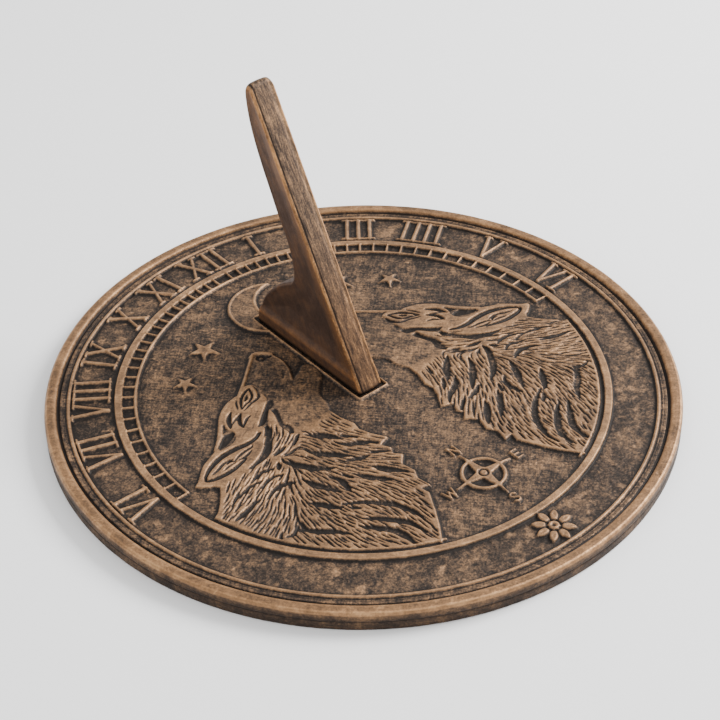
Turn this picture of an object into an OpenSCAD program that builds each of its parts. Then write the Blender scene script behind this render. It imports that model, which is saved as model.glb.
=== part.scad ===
// Cast garden sundial: a round dial plate with a separate gnomon let into a
// pocket of the plate and held by two machine screws from below.
// Millimetres. Z is up, the plate rests on z = 0, and +Y is noon (north).
// The origin is the centre of the underside.

/* [Dial plate] */
// Outer diameter of the plate
dial_d = 252; // [250:1:260]
// Height of the rim crest above the resting plane
plate_h = 8.5; // [8.4:0.1:10]
// Height of the sunk field above the resting plane
field_z = 6.5; // [6.3:0.1:6.9]
// Height of the raised lines and figures above the field
relief_h = 1.2; // [0.8:0.1:1.5]
// Depth of the hollow under the plate
hollow_h = 2.5; // [1.5:0.1:2.8]

/* [Hour scale] */
// Latitude that the hour lines are laid out for, in degrees
latitude = 51; // [35:1:60]
// Width of the noon gap between the morning and the afternoon scale
noon_gap = 7; // [4:0.5:11]
// Scale divisions on each side of noon, four to the hour
divisions = 25; // [20:1:27]
// Height of the Roman numerals
numeral_h = 15; // [10:0.5:15.5]

/* [Gnomon] */
// Height of the gnomon tip above the resting plane
gnomon_top = 119.5; // [100:0.5:120]
// Thickness of the gnomon along its edges
gnomon_t = 11; // [9:0.5:11]
// Depth of the hollow in each side of the gnomon
gnomon_hollow = 1.2; // [0.5:0.1:2]
// Gap between the gnomon foot and the pocket wall
pocket_gap = 1; // [0.5:0.1:1.2]
// Depth of the pocket floor below the field
pocket_depth = 0.4; // [0.2:0.1:0.6]

/* [Fasteners] */
// Length of the gnomon screws under the head
screw_len = 10; // [8:1:12]
// Nominal diameter of the blind tapped holes for a pedestal
pedestal_hole_d = 5; // [4:1:6]
// Diameter of the circle that the pedestal holes are on
pedestal_pcd = 150; // [130:5:170]

/* [Hidden] */
eps = 0.01;
bronze = [0.50, 0.38, 0.28];
dark_bronze = [0.36, 0.27, 0.20];
brass = [0.72, 0.58, 0.32];
steel = [0.62, 0.62, 0.63];

// Radii and widths of the mouldings, from the rim inwards
rim_r = dial_d / 2;
edge_top = 1.6;
edge_low = 0.8;
crest_r = rim_r - 2.4;
groove_r = rim_r - 5;
groove_w = 0.9;
groove_floor = field_z + 0.1;
thin_ring_r = rim_r - 8.7;
thin_ring_w = 1.2;
hour_band_r = 98.6;
ladder_out_r = 95.6;
ladder_in_r = 90.9;
ladder_line_w = 1.2;
tick_w = 1;
draft = 0.2;
relief_z = field_z + relief_h;
step_z = field_z + relief_h * 0.6;
skirt_r = rim_r - 13;
numeral_r = 100.2;

// Share of the true hour angle at which the ticks and numerals are drawn
scale_fit = 0.991;

// Gnomon, in the north-south plane: y to the north, z up
foot_south = -5;
foot_north = 61.5;
foot_w = gnomon_t + 0.5;
plinth_h = 6;
pocket_z = field_z - pocket_depth;
lip_w = 0.8;
base_z = relief_z;
side_top = 112.8;
rise = (gnomon_top - base_z) / side_top;

// Screws, from the underside: the head bears on the washer in a counterbore
screw_d = 4;
pad_z = 0.5;
pad_w = 18;
pad_h = field_z - pad_z - 1;
seat_z = 3.9;
washer_h = 0.9;
washer_d = 7.6;
washer_split = 0.7;
head_d = 8;
head_h = 2.4;
head_round = 1;
slot_w = 1.2;
slot_depth = 1;
counterbore_d = 10;
clearance_d = screw_d + 0.4;
shank_d = screw_d - 0.1;
screw_ys = [8, 48];
tap_depth = 10;
pedestal_depth = 4.6;
boss_d = pedestal_hole_d * 2.4;

// ---- Hour scale -----------------------------------------------------------

// Direction of an hour line from its origin, in degrees east of noon
function hour_line(h) = atan2(sin(latitude) * sin(h * 15), cos(h * 15));
// Distance along the hour line from its origin to the circle of radius r
function reach(a, r) = -noon_gap / 2 * sin(a) + sqrt(r * r - pow(noon_gap / 2 * cos(a), 2));
// Place of the hour line on the circle of radius r, as an angle from noon
function scale_angle(h, r) =
    scale_fit * atan2(noon_gap / 2 + reach(hour_line(h), r) * sin(hour_line(h)),
                      reach(hour_line(h), r) * cos(hour_line(h)));

scale_end = scale_angle(divisions / 4, ladder_in_r);

// A straight stroke between two points, w wide
module stroke(a, b, w) {
    d = b - a;
    translate(a)
        rotate(atan2(d[1], d[0]))
            translate([0, -w / 2])
                square([norm(d), w]);
}

// Roman letters: each is drawn from the baseline up, centred on x = 0
letter_w = [["I", 5], ["V", 10], ["X", 12.3]];
thick = 1.9;
thin = 1.3;
serif_h = 1.2;
arm = 3.6;
long_serif = 5.2;
short_serif = 4;
function width_of(c) = letter_w[search(c, letter_w)[0]][1];
function text_w(t, n) = n == 0 ? 0 : width_of(t[n - 1]) + text_w(t, n - 1);

module serif(x, w, top) {
    translate([x - w / 2, top ? numeral_h - serif_h : 0])
        square([w, serif_h]);
}

module letter(c) {
    foot = serif_h / 2;
    head = numeral_h - serif_h / 2;
    if (c == "I") {
        stroke([0, foot], [0, head], thick);
        serif(0, long_serif, false);
        serif(0, long_serif, true);
    }
    if (c == "V") {
        stroke([-arm, head], [0, 0], thick);
        stroke([arm, head], [0, 0], thin);
        serif(-arm, short_serif, true);
        serif(arm, short_serif, true);
    }
    if (c == "X") {
        stroke([-arm, head], [arm, foot], thick);
        stroke([arm, head], [-arm, foot], thin);
        for (x = [-arm, arm], top = [false, true])
            serif(x, short_serif, top);
    }
}

module numeral(t) {
    total = text_w(t, len(t));
    for (i = [0 : len(t) - 1])
        translate([text_w(t, i) + width_of(t[i]) / 2 - total / 2, 0])
            letter(t[i]);
}

// The hours from six in the morning to six in the evening, as hours from noon
hours = [["VI", -6], ["VII", -5], ["VIII", -4], ["IX", -3], ["X", -2], ["XI", -1],
         ["XII", 0], ["I", 1], ["II", 2], ["III", 3], ["IIII", 4], ["V", 5], ["VI", 6]];

module numerals() {
    for (e = hours)
        rotate(-(e[1] == 0 ? 0 : sign(e[1]) * scale_angle(abs(e[1]), numeral_r + numeral_h / 2)))
            translate([0, numeral_r])
                numeral(e[0]);
}

// The ladder: an inner line, and a tick for each quarter of an hour
module ladder() {
    rotate([0, 0, 90 - scale_end])
        rotate_extrude(angle = 2 * scale_end, $fn = 180)
            translate([ladder_in_r - ladder_line_w, 0])
                square([ladder_line_w, relief_h]);
    for (side = [-1, 1], k = [0 : divisions])
        rotate(side * scale_angle(k / 4, ladder_in_r))
            translate([-tick_w / 2, ladder_in_r - draft, 0])
                cube([tick_w, ladder_out_r - ladder_in_r + 3 * draft, relief_h]);
}

// ---- Medallion ------------------------------------------------------------

// Outline of the wolf on the west side, from the nose over the brow and ear,
// down the nape to the hour band and back up the ruff to the jaw
wolf_head = [
    [-16, 39.7], [-17.6, 41.8], [-19.5, 43.5], [-21.5, 44.1], [-23.5, 43.3],
    [-30, 37.6], [-35, 33.1], [-40, 29], [-43, 26.6], [-49, 25.6], [-53, 23.5],
    [-57, 20], [-60.5, 15.6], [-65, 10.5], [-69.2, 6.4], [-73, 4.4], [-77, 2.3],
    [-80, -0.1], [-83, -2.9], [-86.5, -5.6], [-84.5, -7.8], [-81, -9.6]];
wolf_nape = [[-79.6, -11.6], [-82, -15.2], [-85, -18.8], [-88, -21.8]];
wolf_ruff = [
    [-31.2, -80], [-26.8, -72.6], [-22.4, -64.4], [-23, -61.2], [-19.2, -61.8],
    [-20.3, -56], [-18.3, -52], [-19.6, -46.4], [-15.6, -42.2], [-18.2, -39.4],
    [-16.6, -36.6], [-18.6, -32.8], [-13.6, -31], [-17, -25.4], [-19, -20.3],
    [-18.2, -16.3], [-20, -10.2], [-20.4, -4]];
wolf_jaw = [
    [-18.2, 0.4], [-17.4, 5.6], [-14.8, 9.4], [-11.6, 12.2], [-9, 15], [-7.9, 19],
    [-8.3, 23.4], [-10.8, 25.3], [-14.4, 23], [-19.2, 20.6], [-17.6, 23.8],
    [-16, 27.2], [-15.2, 30.4], [-15, 34.6]];
nape_r = 93.8;
wolf_outline = concat(
    wolf_head, wolf_nape,
    [for (a = [195.5 : 5.2 : 247.5]) nape_r * [cos(a), sin(a)]],
    wolf_ruff, wolf_jaw);
wolf_ear = [
    [-83.5, -5.5], [-78, -0.8], [-70, 2.2], [-62, 3], [-55, 2],
    [-49, 1.5], [-55, -3.2], [-62, -6.2], [-70, -7.2], [-78, -7]];
wolf_eye = [[-47, 20], [-43.5, 24], [-37, 26.5], [-36, 25.5], [-39.5, 21.5]];
wolf_nostril = [-20.7, 39.6];
nostril_d = 2.6;
fur_groove_w = 1.1;

// Grooves between the locks of the ruff: start and end of each
ruff_grooves = [
    [[-62, -20], [-84, -29]], [[-60, -29], [-79, -43]], [[-58, -36], [-70, -50]],
    [[-52, -26], [-43, -42]], [[-44, -16], [-33, -31]], [[-38, -12], [-24, -28]],
    [[-52, -44], [-38, -66]], [[-62, -48], [-50, -68]], [[-41, -50], [-30, -72]],
    [[-33, -34], [-22, -50]], [[-50, -62], [-42, -78]], [[-40, -66], [-36, -82]]];

module wolf() {
    difference() {
        linear_extrude(relief_h)
            polygon(wolf_outline);
        translate([0, 0, relief_h / 2])
            linear_extrude(relief_h) {
                polygon(wolf_ear);
                polygon(wolf_eye);
                translate(wolf_nostril)
                    circle(d = nostril_d, $fn = 24);
                for (g = ruff_grooves)
                    stroke(g[0], g[1], fur_groove_w);
            }
    }
}

// Stars on the east side, each with its mirror image: x, y and outer radius
stars = [[35.2, 58.8, 6.4], [53.7, 46.4, 4.7]];
star_waist = 0.42;

module star(r) {
    linear_extrude(relief_h)
        polygon([for (i = [0 : 9])
            (i % 2 == 0 ? r : r * star_waist) * [sin(i * 36), cos(i * 36)]]);
}

// Crescent: a disc less a smaller one set to its east
moon_at = [2.2, 64.8];
moon_r = 17;
moon_cut_r = 14.2;
moon_cut_at = [10.5, -1.5];

module moon() {
    linear_extrude(relief_h)
        difference() {
            circle(r = moon_r, $fn = 96);
            translate(moon_cut_at)
                circle(r = moon_cut_r, $fn = 96);
        }
}

// Compass rose: a ring, four points, a boss and the four letters
rose_y = -70;
rose_r = 9;
rose_ring_w = 1.5;
rose_boss_r = 2.8;
rose_point = [[-2.1, 1.5], [0, 13.2], [2.1, 1.5]];
letter_r = 17;
letter_line_w = 0.8;

module rose_letter(i) {
    lines = [
        [[-1.4, -2.2], [-1.4, 2.2], [1.4, -2.2], [1.4, 2.2]],
        [[1.4, 2.1], [-1.3, 2.1], [-1.3, -2.1], [1.4, -2.1]],
        [[1.4, 1.7], [0, 2.2], [-1.3, 1.1], [1.3, -1.1], [0, -2.2], [-1.4, -1.7]],
        [[-2.2, 2.2], [-1.1, -2.2], [0, 1], [1.1, -2.2], [2.2, 2.2]]];
    p = lines[i];
    for (k = [0 : len(p) - 2])
        stroke(p[k], p[k + 1], letter_line_w);
    if (i == 1)
        stroke([-1.3, 0], [0.9, 0], letter_line_w);
}

module compass_rose() {
    linear_extrude(relief_h) {
        difference() {
            circle(r = rose_r, $fn = 72);
            circle(r = rose_r - rose_ring_w, $fn = 72);
        }
        for (i = [0 : 3])
            rotate(-90 * i)
                polygon(rose_point);
        circle(r = rose_boss_r, $fn = 36);
        for (i = [0 : 3])
            translate(letter_r * [sin(90 * i), cos(90 * i)])
                rose_letter(i);
    }
}

// A plain rosette of eight leaves stands in the south of the hour ring
rosette_y = -107.2;
rosette_boss_r = 2.5;
rosette_eye_r = 1.1;
rosette_leaf = [[1.8, 0], [3.4, 1.2], [5.3, 1.75], [7.2, 1.1], [8.4, 0], [7.2, -1.1],
                [5.3, -1.75], [3.4, -1.2]];

module rosette() {
    difference() {
        linear_extrude(relief_h) {
            circle(r = rosette_boss_r, $fn = 32);
            for (i = [0 : 7])
                rotate(45 * i)
                    polygon(rosette_leaf);
        }
        translate([0, 0, relief_h / 2])
            cylinder(r = rosette_eye_r, h = relief_h, $fn = 24);
    }
}

// ---- Castings -------------------------------------------------------------

// Points of a quarter round about c, from angle a0 to a1
function arc(c, r, a0, a1, n) =
    [for (i = [0 : n]) c + r * [cos(a0 + (a1 - a0) * i / n), sin(a0 + (a1 - a0) * i / n)]];

// Section of the plate: underside hollow, skirt, round edge, mouldings, field
module plate_section() {
    polygon(concat(
        [[0, hollow_h], [skirt_r - 2, hollow_h], [skirt_r, 0]],
        arc([rim_r - edge_low, edge_low], edge_low, -90, 0, 4),
        arc([rim_r - edge_top, plate_h - edge_top], edge_top, 0, 90, 6),
        [[crest_r, plate_h], [groove_r + 3 * draft, relief_z], [groove_r + draft, groove_floor],
         [groove_r - groove_w, groove_floor], [groove_r - groove_w - draft, step_z],
         [thin_ring_r + draft, step_z], [thin_ring_r, relief_z],
         [thin_ring_r - thin_ring_w, relief_z], [thin_ring_r - thin_ring_w - draft, field_z],
         [hour_band_r + draft, field_z], [hour_band_r, relief_z],
         [ladder_out_r, relief_z], [ladder_out_r, field_z], [0, field_z]]));
}

module pocket_outline(grow) {
    translate([-foot_w / 2 - grow, foot_south - grow])
        square([foot_w + 2 * grow, foot_north - foot_south + 2 * grow]);
}

// Everything that stands up from the field, on z = 0
module plate_relief() {
    linear_extrude(relief_h)
        numerals();
    ladder();
    wolf();
    mirror([1, 0, 0])
        wolf();
    for (side = [-1, 1], s = stars)
        translate([side * s[0], s[1], 0])
            star(s[2]);
    translate(moon_at)
        moon();
    translate([0, rose_y, 0])
        compass_rose();
    translate([0, rosette_y, 0])
        rosette();
    linear_extrude(relief_h)
        pocket_outline(pocket_gap + lip_w);
}

// Put the children at each of the three pedestal holes
module at_pedestal_holes(z) {
    for (a = [90, 210, 330])
        rotate(a)
            translate([pedestal_pcd / 2, 0, z])
                children();
}

module dial_plate() {
    color(bronze)
        difference() {
            union() {
                rotate_extrude($fn = 240)
                    plate_section();
                translate([0, 0, field_z - eps])
                    plate_relief();
                // Pad under the pocket, for the screw heads
                translate([-pad_w / 2, foot_south - 1, pad_z])
                    cube([pad_w, foot_north - foot_south + 2, pad_h]);
                at_pedestal_holes(pad_z)
                    cylinder(d = boss_d, h = pad_h, $fn = 48);
            }
            translate([0, 0, pocket_z])
                linear_extrude(plate_h)
                    pocket_outline(pocket_gap);
            for (y = screw_ys)
                translate([0, y, -1]) {
                    cylinder(d = counterbore_d, h = seat_z + 1, $fn = 48);
                    cylinder(d = clearance_d, h = plate_h, $fn = 48);
                }
            at_pedestal_holes(-1)
                cylinder(d = pedestal_hole_d, h = pedestal_depth + 1, $fn = 48);
        }
}

// Side view of the gnomon from z = 0 at the top of its pocket lip: the style
// on the south, the tip, the swept back and the heel
gnomon_back = [
    [60.6, 111.8], [61.4, 108], [60.8, 100], [59.2, 92.5], [56.8, 85.3], [53.6, 77.5],
    [49.6, 69], [45.9, 61], [42.5, 54.5], [39.8, 49], [38, 43.4], [37.1, 37.6],
    [37.3, 33], [38.9, 30.2], [42.2, 27.8], [47, 24.4], [53, 18.6], [57.6, 12.6],
    [60, 7], [61.2, 2], [foot_north, 0]];
gnomon_side = concat(
    [[foot_south, 0], [56.9, 111.2], [57.6, 112.3], [59, side_top]],
    gnomon_back);
// Hollow of each side, inside the edges and above the plinth
gnomon_panel = [
    [1.6, plinth_h], [34, 63.5], [50, 92.5], [55, 97], [54.2, 90], [49.8, 80],
    [44.8, 69.5], [39.6, 58.5], [35.6, 50], [33.4, 42], [32.8, 34], [34.6, 28.5],
    [40, 24.5], [46.6, 18.6], [51.8, 12.4], [54.6, plinth_h]];

heel_h = 1.2;
plinth_south = 3.4;
plinth_north = 2;

module scaled_rise(points) {
    polygon([for (p = points) [p[0], p[1] * rise]]);
}

// Stand a side view up in the north-south plane, t thick about the plane
module stand(t) {
    translate([-t / 2, 0, base_z])
        rotate([90, 0, 90])
            linear_extrude(t)
                children();
}

module gnomon() {
    color(dark_bronze)
        difference() {
            union() {
                stand(gnomon_t)
                    scaled_rise(gnomon_side);
                translate([-foot_w / 2, foot_south, pocket_z])
                    cube([foot_w, foot_north - foot_south, base_z - pocket_z + heel_h]);
                translate([-foot_w / 2, foot_south + plinth_south, base_z])
                    cube([foot_w, foot_north - foot_south - plinth_south - plinth_north,
                          plinth_h - 1]);
            }
            for (side = [-1, 1])
                translate([side * (gnomon_t - gnomon_hollow), 0, 0])
                    stand(gnomon_t)
                        scaled_rise(gnomon_panel);
            for (y = screw_ys)
                translate([0, y, pocket_z - 1])
                    cylinder(d = screw_d, h = tap_depth + 1, $fn = 48);
        }
}

// ---- Fasteners ------------------------------------------------------------

// Slotted pan-head screw pointing up, its head under the lock washer
module pan_head_screw(y) {
    top = seat_z - washer_h;
    translate([0, y, top]) {
        cylinder(d = shank_d, h = screw_len, $fn = 48);
        difference() {
            rotate_extrude($fn = 64)
                polygon(concat([[0, 0], [head_d / 2, 0]],
                    arc([head_d / 2 - head_round, head_round - head_h], head_round, 0, -90, 5),
                    [[0, -head_h]]));
            translate([-head_d, -slot_w / 2, -head_h - 1])
                cube([2 * head_d, slot_w, slot_depth + 1]);
        }
    }
}

// Split spring washer, cut through on one side
module lock_washer(y) {
    translate([0, y, seat_z - washer_h])
        difference() {
            cylinder(d = washer_d, h = washer_h, $fn = 64);
            translate([0, 0, -1])
                cylinder(d = screw_d + 0.3, h = washer_h + 2, $fn = 48);
            rotate(35)
                translate([1, -washer_split / 2, -1])
                    cube([washer_d, washer_split, washer_h + 2]);
        }
}

module south_screw() {
    color(brass) pan_head_screw(screw_ys[0]);
}

module north_screw() {
    color(brass) pan_head_screw(screw_ys[1]);
}

module south_lock_washer() {
    color(steel) lock_washer(screw_ys[0]);
}

module north_lock_washer() {
    color(steel) lock_washer(screw_ys[1]);
}

dial_plate();
gnomon();
south_screw();
north_screw();
south_lock_washer();
north_lock_washer();
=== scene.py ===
import bpy
import bmesh
import math
import numpy as np
from mathutils import Matrix, Vector
from mathutils.geometry import delaunay_2d_cdt


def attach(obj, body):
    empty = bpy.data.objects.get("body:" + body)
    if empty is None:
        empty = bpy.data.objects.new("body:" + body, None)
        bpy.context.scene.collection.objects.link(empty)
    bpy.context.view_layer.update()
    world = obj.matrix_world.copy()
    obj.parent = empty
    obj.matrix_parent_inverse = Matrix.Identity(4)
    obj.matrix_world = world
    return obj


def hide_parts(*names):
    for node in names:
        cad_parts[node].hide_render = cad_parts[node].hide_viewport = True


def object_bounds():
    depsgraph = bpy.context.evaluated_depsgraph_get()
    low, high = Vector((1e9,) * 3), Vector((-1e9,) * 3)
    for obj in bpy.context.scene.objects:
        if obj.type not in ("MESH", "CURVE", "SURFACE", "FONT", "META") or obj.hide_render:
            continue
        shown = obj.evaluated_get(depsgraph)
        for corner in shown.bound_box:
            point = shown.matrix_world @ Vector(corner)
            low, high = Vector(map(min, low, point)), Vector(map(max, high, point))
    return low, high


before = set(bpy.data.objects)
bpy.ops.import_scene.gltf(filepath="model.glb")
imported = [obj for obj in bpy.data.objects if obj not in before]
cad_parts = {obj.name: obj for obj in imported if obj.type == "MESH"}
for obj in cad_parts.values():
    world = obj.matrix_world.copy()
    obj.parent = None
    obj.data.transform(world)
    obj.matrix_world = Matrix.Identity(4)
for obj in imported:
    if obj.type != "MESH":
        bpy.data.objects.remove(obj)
cad_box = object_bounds()
MM = 0.001

# ---- Driving dimensions, in millimetres, as on the CAD plate and gnomon ----
RIM_R = min(-cad_box[0][0], -cad_box[0][1], cad_box[1][0], cad_box[1][1]) / MM
TIP_Z = cad_box[1][2] / MM
PLATE_H = 8.5
FIELD_Z = 6.5
RELIEF_H = 1.2
RELIEF_Z = FIELD_Z + RELIEF_H
HOLLOW_Z = 2.5
NUMERAL_R = 100.2  # at the foot of the numerals
NUMERAL_H = 15.0
HOUR_BAND = (95.6, 98.6)
LADDER_IN = 90.9
LADDER_OUT = 95.6
RIM_W, RIM_ROUND = 5.0, 1.6
THIN_RING_R = RIM_R - 8.7
LATITUDE = math.radians(51)
NOON_GAP = 7.0
DIVISIONS = 25  # quarter hours on each side of noon
SCALE_FIT = 0.991  # the hour scale's angles, as a share of the true ones
FOOT_SOUTH, FOOT_NORTH = -5, 61.5
FOOT_W = 11.5
POCKET_GAP = 1.0
POCKET_Z = FIELD_Z - 0.4
SCREW_YS = (8, 48)
PEDESTAL_R = 75.0
PAD_W, PAD_LOW, PAD_HIGH = 18.0, 0.5, 4.5
SEAT_Z = 3.9  # where the spring washers bear on the plate
BOSS_R, PEDESTAL_HOLE_R, PEDESTAL_HOLE_TOP = 6.0, 2.5, 4.6
COUNTERBORE_R, SCREW_HOLE_R, TAPPED_HOLE_R = 5.0, 2.2, 2.0
GNOMON_T = 11.0


# ---- Relief canvas: a height map seen from above ----
class Canvas:
    """Heights in mm over the dial, on a square grid."""

    half, pitch = 128.0, 0.2
    n = round(2 * half / pitch) + 1

    def __init__(self, h=None):
        self.h = np.zeros((self.n, self.n), np.float32) if h is None else h

    def window(self, x0, x1, y0, y1):
        """The part of the grid in a box: its slices, and the x and y of its points."""
        def cell(v):
            return int(np.clip(round((v + self.half) / self.pitch), 0, self.n - 1))
        sy, sx = slice(cell(y0), cell(y1) + 1), slice(cell(x0), cell(x1) + 1)
        xs = np.arange(sx.start, sx.stop) * self.pitch - self.half
        ys = np.arange(sy.start, sy.stop) * self.pitch - self.half
        return (sy, sx), *np.meshgrid(xs, ys)

    def spot(self, cx, cy, reach):
        """The window round a place, and how far each of its points is from it."""
        win, x, y = self.window(cx - reach, cx + reach, cy - reach, cy + reach)
        return win, np.hypot(x - cx, y - cy)

    def lift(self, win, height):
        self.h[win] = np.maximum(self.h[win], height)

    def cut(self, win, depth, floor=0):
        old = self.h[win]
        self.h[win] = np.minimum(old, np.maximum(old - depth, floor))

    def sample(self, x, y):
        u = np.clip((x + self.half) / self.pitch, 0, self.n - 1.001)
        v = np.clip((y + self.half) / self.pitch, 0, self.n - 1.001)
        i, j = v.astype(int), u.astype(int)
        return blend(self.h, i, j, v - i, u - j)


def blend(grid, i, j, di, dj):
    """The value of a grid the shares di and dj on from its points (i, j)."""
    return ((grid[i, j] * (1 - dj) + grid[i, j + 1] * dj) * (1 - di)
            + (grid[i + 1, j] * (1 - dj) + grid[i + 1, j + 1] * dj) * di)


def smooth(a, b, v):
    t = np.clip((v - a) / (b - a), 0, 1)
    return t * t * (3 - 2 * t)


def blur(a, sigma):
    """Gaussian blur of a grid, sigma in cells."""
    k = np.arange(-int(3 * sigma), int(3 * sigma) + 1)
    w = np.exp(-k * k / (2 * sigma * sigma))
    w /= w.sum()
    for axis in (0, 1):
        pad = [(0, 0), (0, 0)]
        pad[axis] = (len(k) // 2, len(k) // 2)
        p = np.pad(a, pad, mode="edge")
        a = sum(wi * np.take(p, np.arange(i, i + a.shape[axis]), axis) for i, wi in enumerate(w))
    return a


def to_segment(x, y, a, b):
    """How far along the segment from a to b each point's nearest place is, and the distance."""
    ex, ey = b[0] - a[0], b[1] - a[1]
    t = np.clip(((x - a[0]) * ex + (y - a[1]) * ey) / (ex * ex + ey * ey + 1e-12), 0, 1)
    return t, np.hypot(x - a[0] - t * ex, y - a[1] - t * ey)


def sd_polygon(x, y, pts):
    """Distance to a polygon's outline, negative inside."""
    pts = [tuple(q) for q in pts]
    best = np.full(x.shape, 1e9)
    inside = np.zeros(x.shape, bool)
    for a, b in zip(pts, pts[1:] + pts[:1]):
        best = np.minimum(best, to_segment(x, y, a, b)[1])
        if a[1] != b[1]:
            cross = (a[1] > y) != (b[1] > y)
            inside ^= cross & (x < (y - a[1]) * (b[0] - a[0]) / (b[1] - a[1]) + a[0])
    return np.where(inside, -best, best)


def sd_line(x, y, pts, w0, w1=None):
    """Distance to a line of segments whose half width runs from w0 to w1 and back to a point."""
    best = np.full(x.shape, 1e9)
    run = np.cumsum([0] + [math.dist(a, b) for a, b in zip(pts, pts[1:])])
    for k, (a, b) in enumerate(zip(pts, pts[1:])):
        t, d = to_segment(x, y, a, b)
        d = d - w0
        if w1 is not None:
            s = (run[k] + t * (run[k + 1] - run[k])) / run[-1]
            d = d - (w1 - w0) * np.sin(np.pi * np.clip(s, 0, 1)) ** 0.8
        best = np.minimum(best, d)
    return best


def curve(pts, n=6, closed=False):
    """A smooth curve through the points."""
    p = [Vector(q) for q in pts]
    if closed:
        p = [p[-1]] + p + [p[0], p[1]]
    else:
        p = [p[0] * 2 - p[1]] + p + [p[-1] * 2 - p[-2]]
    out = []
    for a, b, c, d in zip(p, p[1:], p[2:], p[3:]):
        for i in range(n):
            t = i / n
            q = 0.5 * (2 * b + (c - a) * t + (2 * a - 5 * b + 4 * c - d) * t * t
                       + (3 * b - a - 3 * c + d) * t ** 3)
            out.append((q.x, q.y))
    if not closed:
        out.append((p[-2].x, p[-2].y))
    return out


def shift(pts, dx, dy):
    return [(x + dx, y + dy) for x, y in pts]


def arc_pts(cx, cy, r, a0, a1, n):
    """Points of an arc of n steps between two angles in degrees."""
    return [(cx + r * math.cos(math.radians(a0 + (a1 - a0) * i / n)),
             cy + r * math.sin(math.radians(a0 + (a1 - a0) * i / n))) for i in range(n + 1)]


def box_of(pts, margin):
    xs, ys = zip(*pts)
    return min(xs) - margin, max(xs) + margin, min(ys) - margin, max(ys) + margin


# How far past a shape its window reaches, for the soft edge
MARGIN = 1.5


def line_part(cv, pts, w, w1, soft):
    """The window round a line, and from 0 to 1 how far in the line each of its points is."""
    win, x, y = cv.window(*box_of(pts, max(w, w1 or 0) + MARGIN))
    return win, smooth(soft, -soft, sd_line(x, y, pts, w, w1))


def area_part(cv, pts, soft):
    """The same for the area inside an outline."""
    win, x, y = cv.window(*box_of(pts, MARGIN))
    return win, smooth(soft, -soft, sd_polygon(x, y, pts))


def raise_line(cv, pts, w, h=RELIEF_H, soft=0.5, w1=None):
    win, part = line_part(cv, pts, w, w1, soft)
    cv.lift(win, h * part)


def raise_area(cv, pts, h=RELIEF_H, soft=0.45):
    win, part = area_part(cv, pts, soft)
    cv.lift(win, h * part)


def sink_line(cv, pts, w, depth, w1=None, soft=0.3, floor=0):
    win, part = line_part(cv, pts, w, w1, soft)
    cv.cut(win, depth * part, floor)


def sink_area(cv, pts, depth, soft=0.35):
    win, part = area_part(cv, pts, soft)
    cv.cut(win, depth * part)


# ---- Hour scale ----
def scale_angle(hours, r):
    """Angle from noon, in radians, of an hour line where it crosses the circle of radius r."""
    a = math.atan2(math.sin(LATITUDE) * math.sin(math.radians(15 * hours)),
                   math.cos(math.radians(15 * hours)))
    half = NOON_GAP / 2
    reach = -half * math.sin(a) + math.sqrt(r * r - (half * math.cos(a)) ** 2)
    return SCALE_FIT * math.atan2(half + reach * math.sin(a), reach * math.cos(a))


def around(points, angle):
    """Turn points clockwise from noon."""
    c, s = math.cos(angle), math.sin(angle)
    return [(x * c + y * s, -x * s + y * c) for x, y in points]


LETTER_W = {"I": 5, "V": 10, "X": 12.3}
HOURS = ["VI", "VII", "VIII", "IX", "X", "XI", "XII", "I", "II", "III", "IIII", "V", "VI"]
THICK, THIN, SERIF = 0.85, 0.62, 0.5
ARM = 3.6


def letter_strokes(c):
    """Strokes of a Roman letter: points and half width, baseline at y = 0."""
    foot, head = SERIF, NUMERAL_H - SERIF
    if c == "I":
        return [([(0, foot), (0, head)], THICK)] + [([(-2.1, y), (2.1, y)], SERIF) for y in (foot, head)]
    if c == "V":
        return ([([(-ARM, head), (0, foot)], THICK), ([(ARM, head), (0, foot)], THIN)]
                + [([(x - 1.5, head), (x + 1.5, head)], SERIF) for x in (-ARM, ARM)])
    return ([([(-ARM, head), (ARM, foot)], THICK), ([(ARM, head), (-ARM, foot)], THIN)]
            + [([(x - 1.5, y), (x + 1.5, y)], SERIF) for x in (-ARM, ARM) for y in (foot, head)])


def draw_numerals(cv):
    for i, text in enumerate(HOURS):
        hours = i - 6
        at = scale_angle(abs(hours), NUMERAL_R + NUMERAL_H / 2)
        turn = math.copysign(at, hours) if hours else 0.0
        x = -sum(LETTER_W[c] for c in text) / 2
        for c in text:
            x += LETTER_W[c] / 2
            for pts, w in letter_strokes(c):
                line = around([(x + px, NUMERAL_R + py) for px, py in pts], turn)
                raise_line(cv, line, w, RELIEF_H, 0.4)
            x += LETTER_W[c] / 2


def draw_ladder(cv):
    for side in (-1, 1):
        for k in range(DIVISIONS + 1):
            a = side * scale_angle(k / 4, LADDER_IN)
            raise_line(cv, around([(0, LADDER_IN - 0.6), (0, LADDER_OUT + 1)], a), 0.5,
                       RELIEF_H, 0.3)
    end = scale_angle(DIVISIONS / 4, LADDER_IN)
    n = 160
    arc = [around([(0, LADDER_IN - 0.55)], -end + 2 * end * i / n)[0] for i in range(n + 1)]
    for i in range(0, n, 8):
        raise_line(cv, arc[i:i + 9], 0.62, RELIEF_H, 0.32)


# ---- Medallion ----
def draw_star(cv, x, y, r):
    pts = [(x + q * math.sin(math.pi * i / 5), y + q * math.cos(math.pi * i / 5))
           for i, q in enumerate([r, r * 0.42] * 5)]
    raise_area(cv, pts, RELIEF_H * 0.95, 0.4)
    for tip in pts[::2]:
        raise_line(cv, [(x, y), tip], 0.1, RELIEF_H * 1.15, 0.8)


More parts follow.
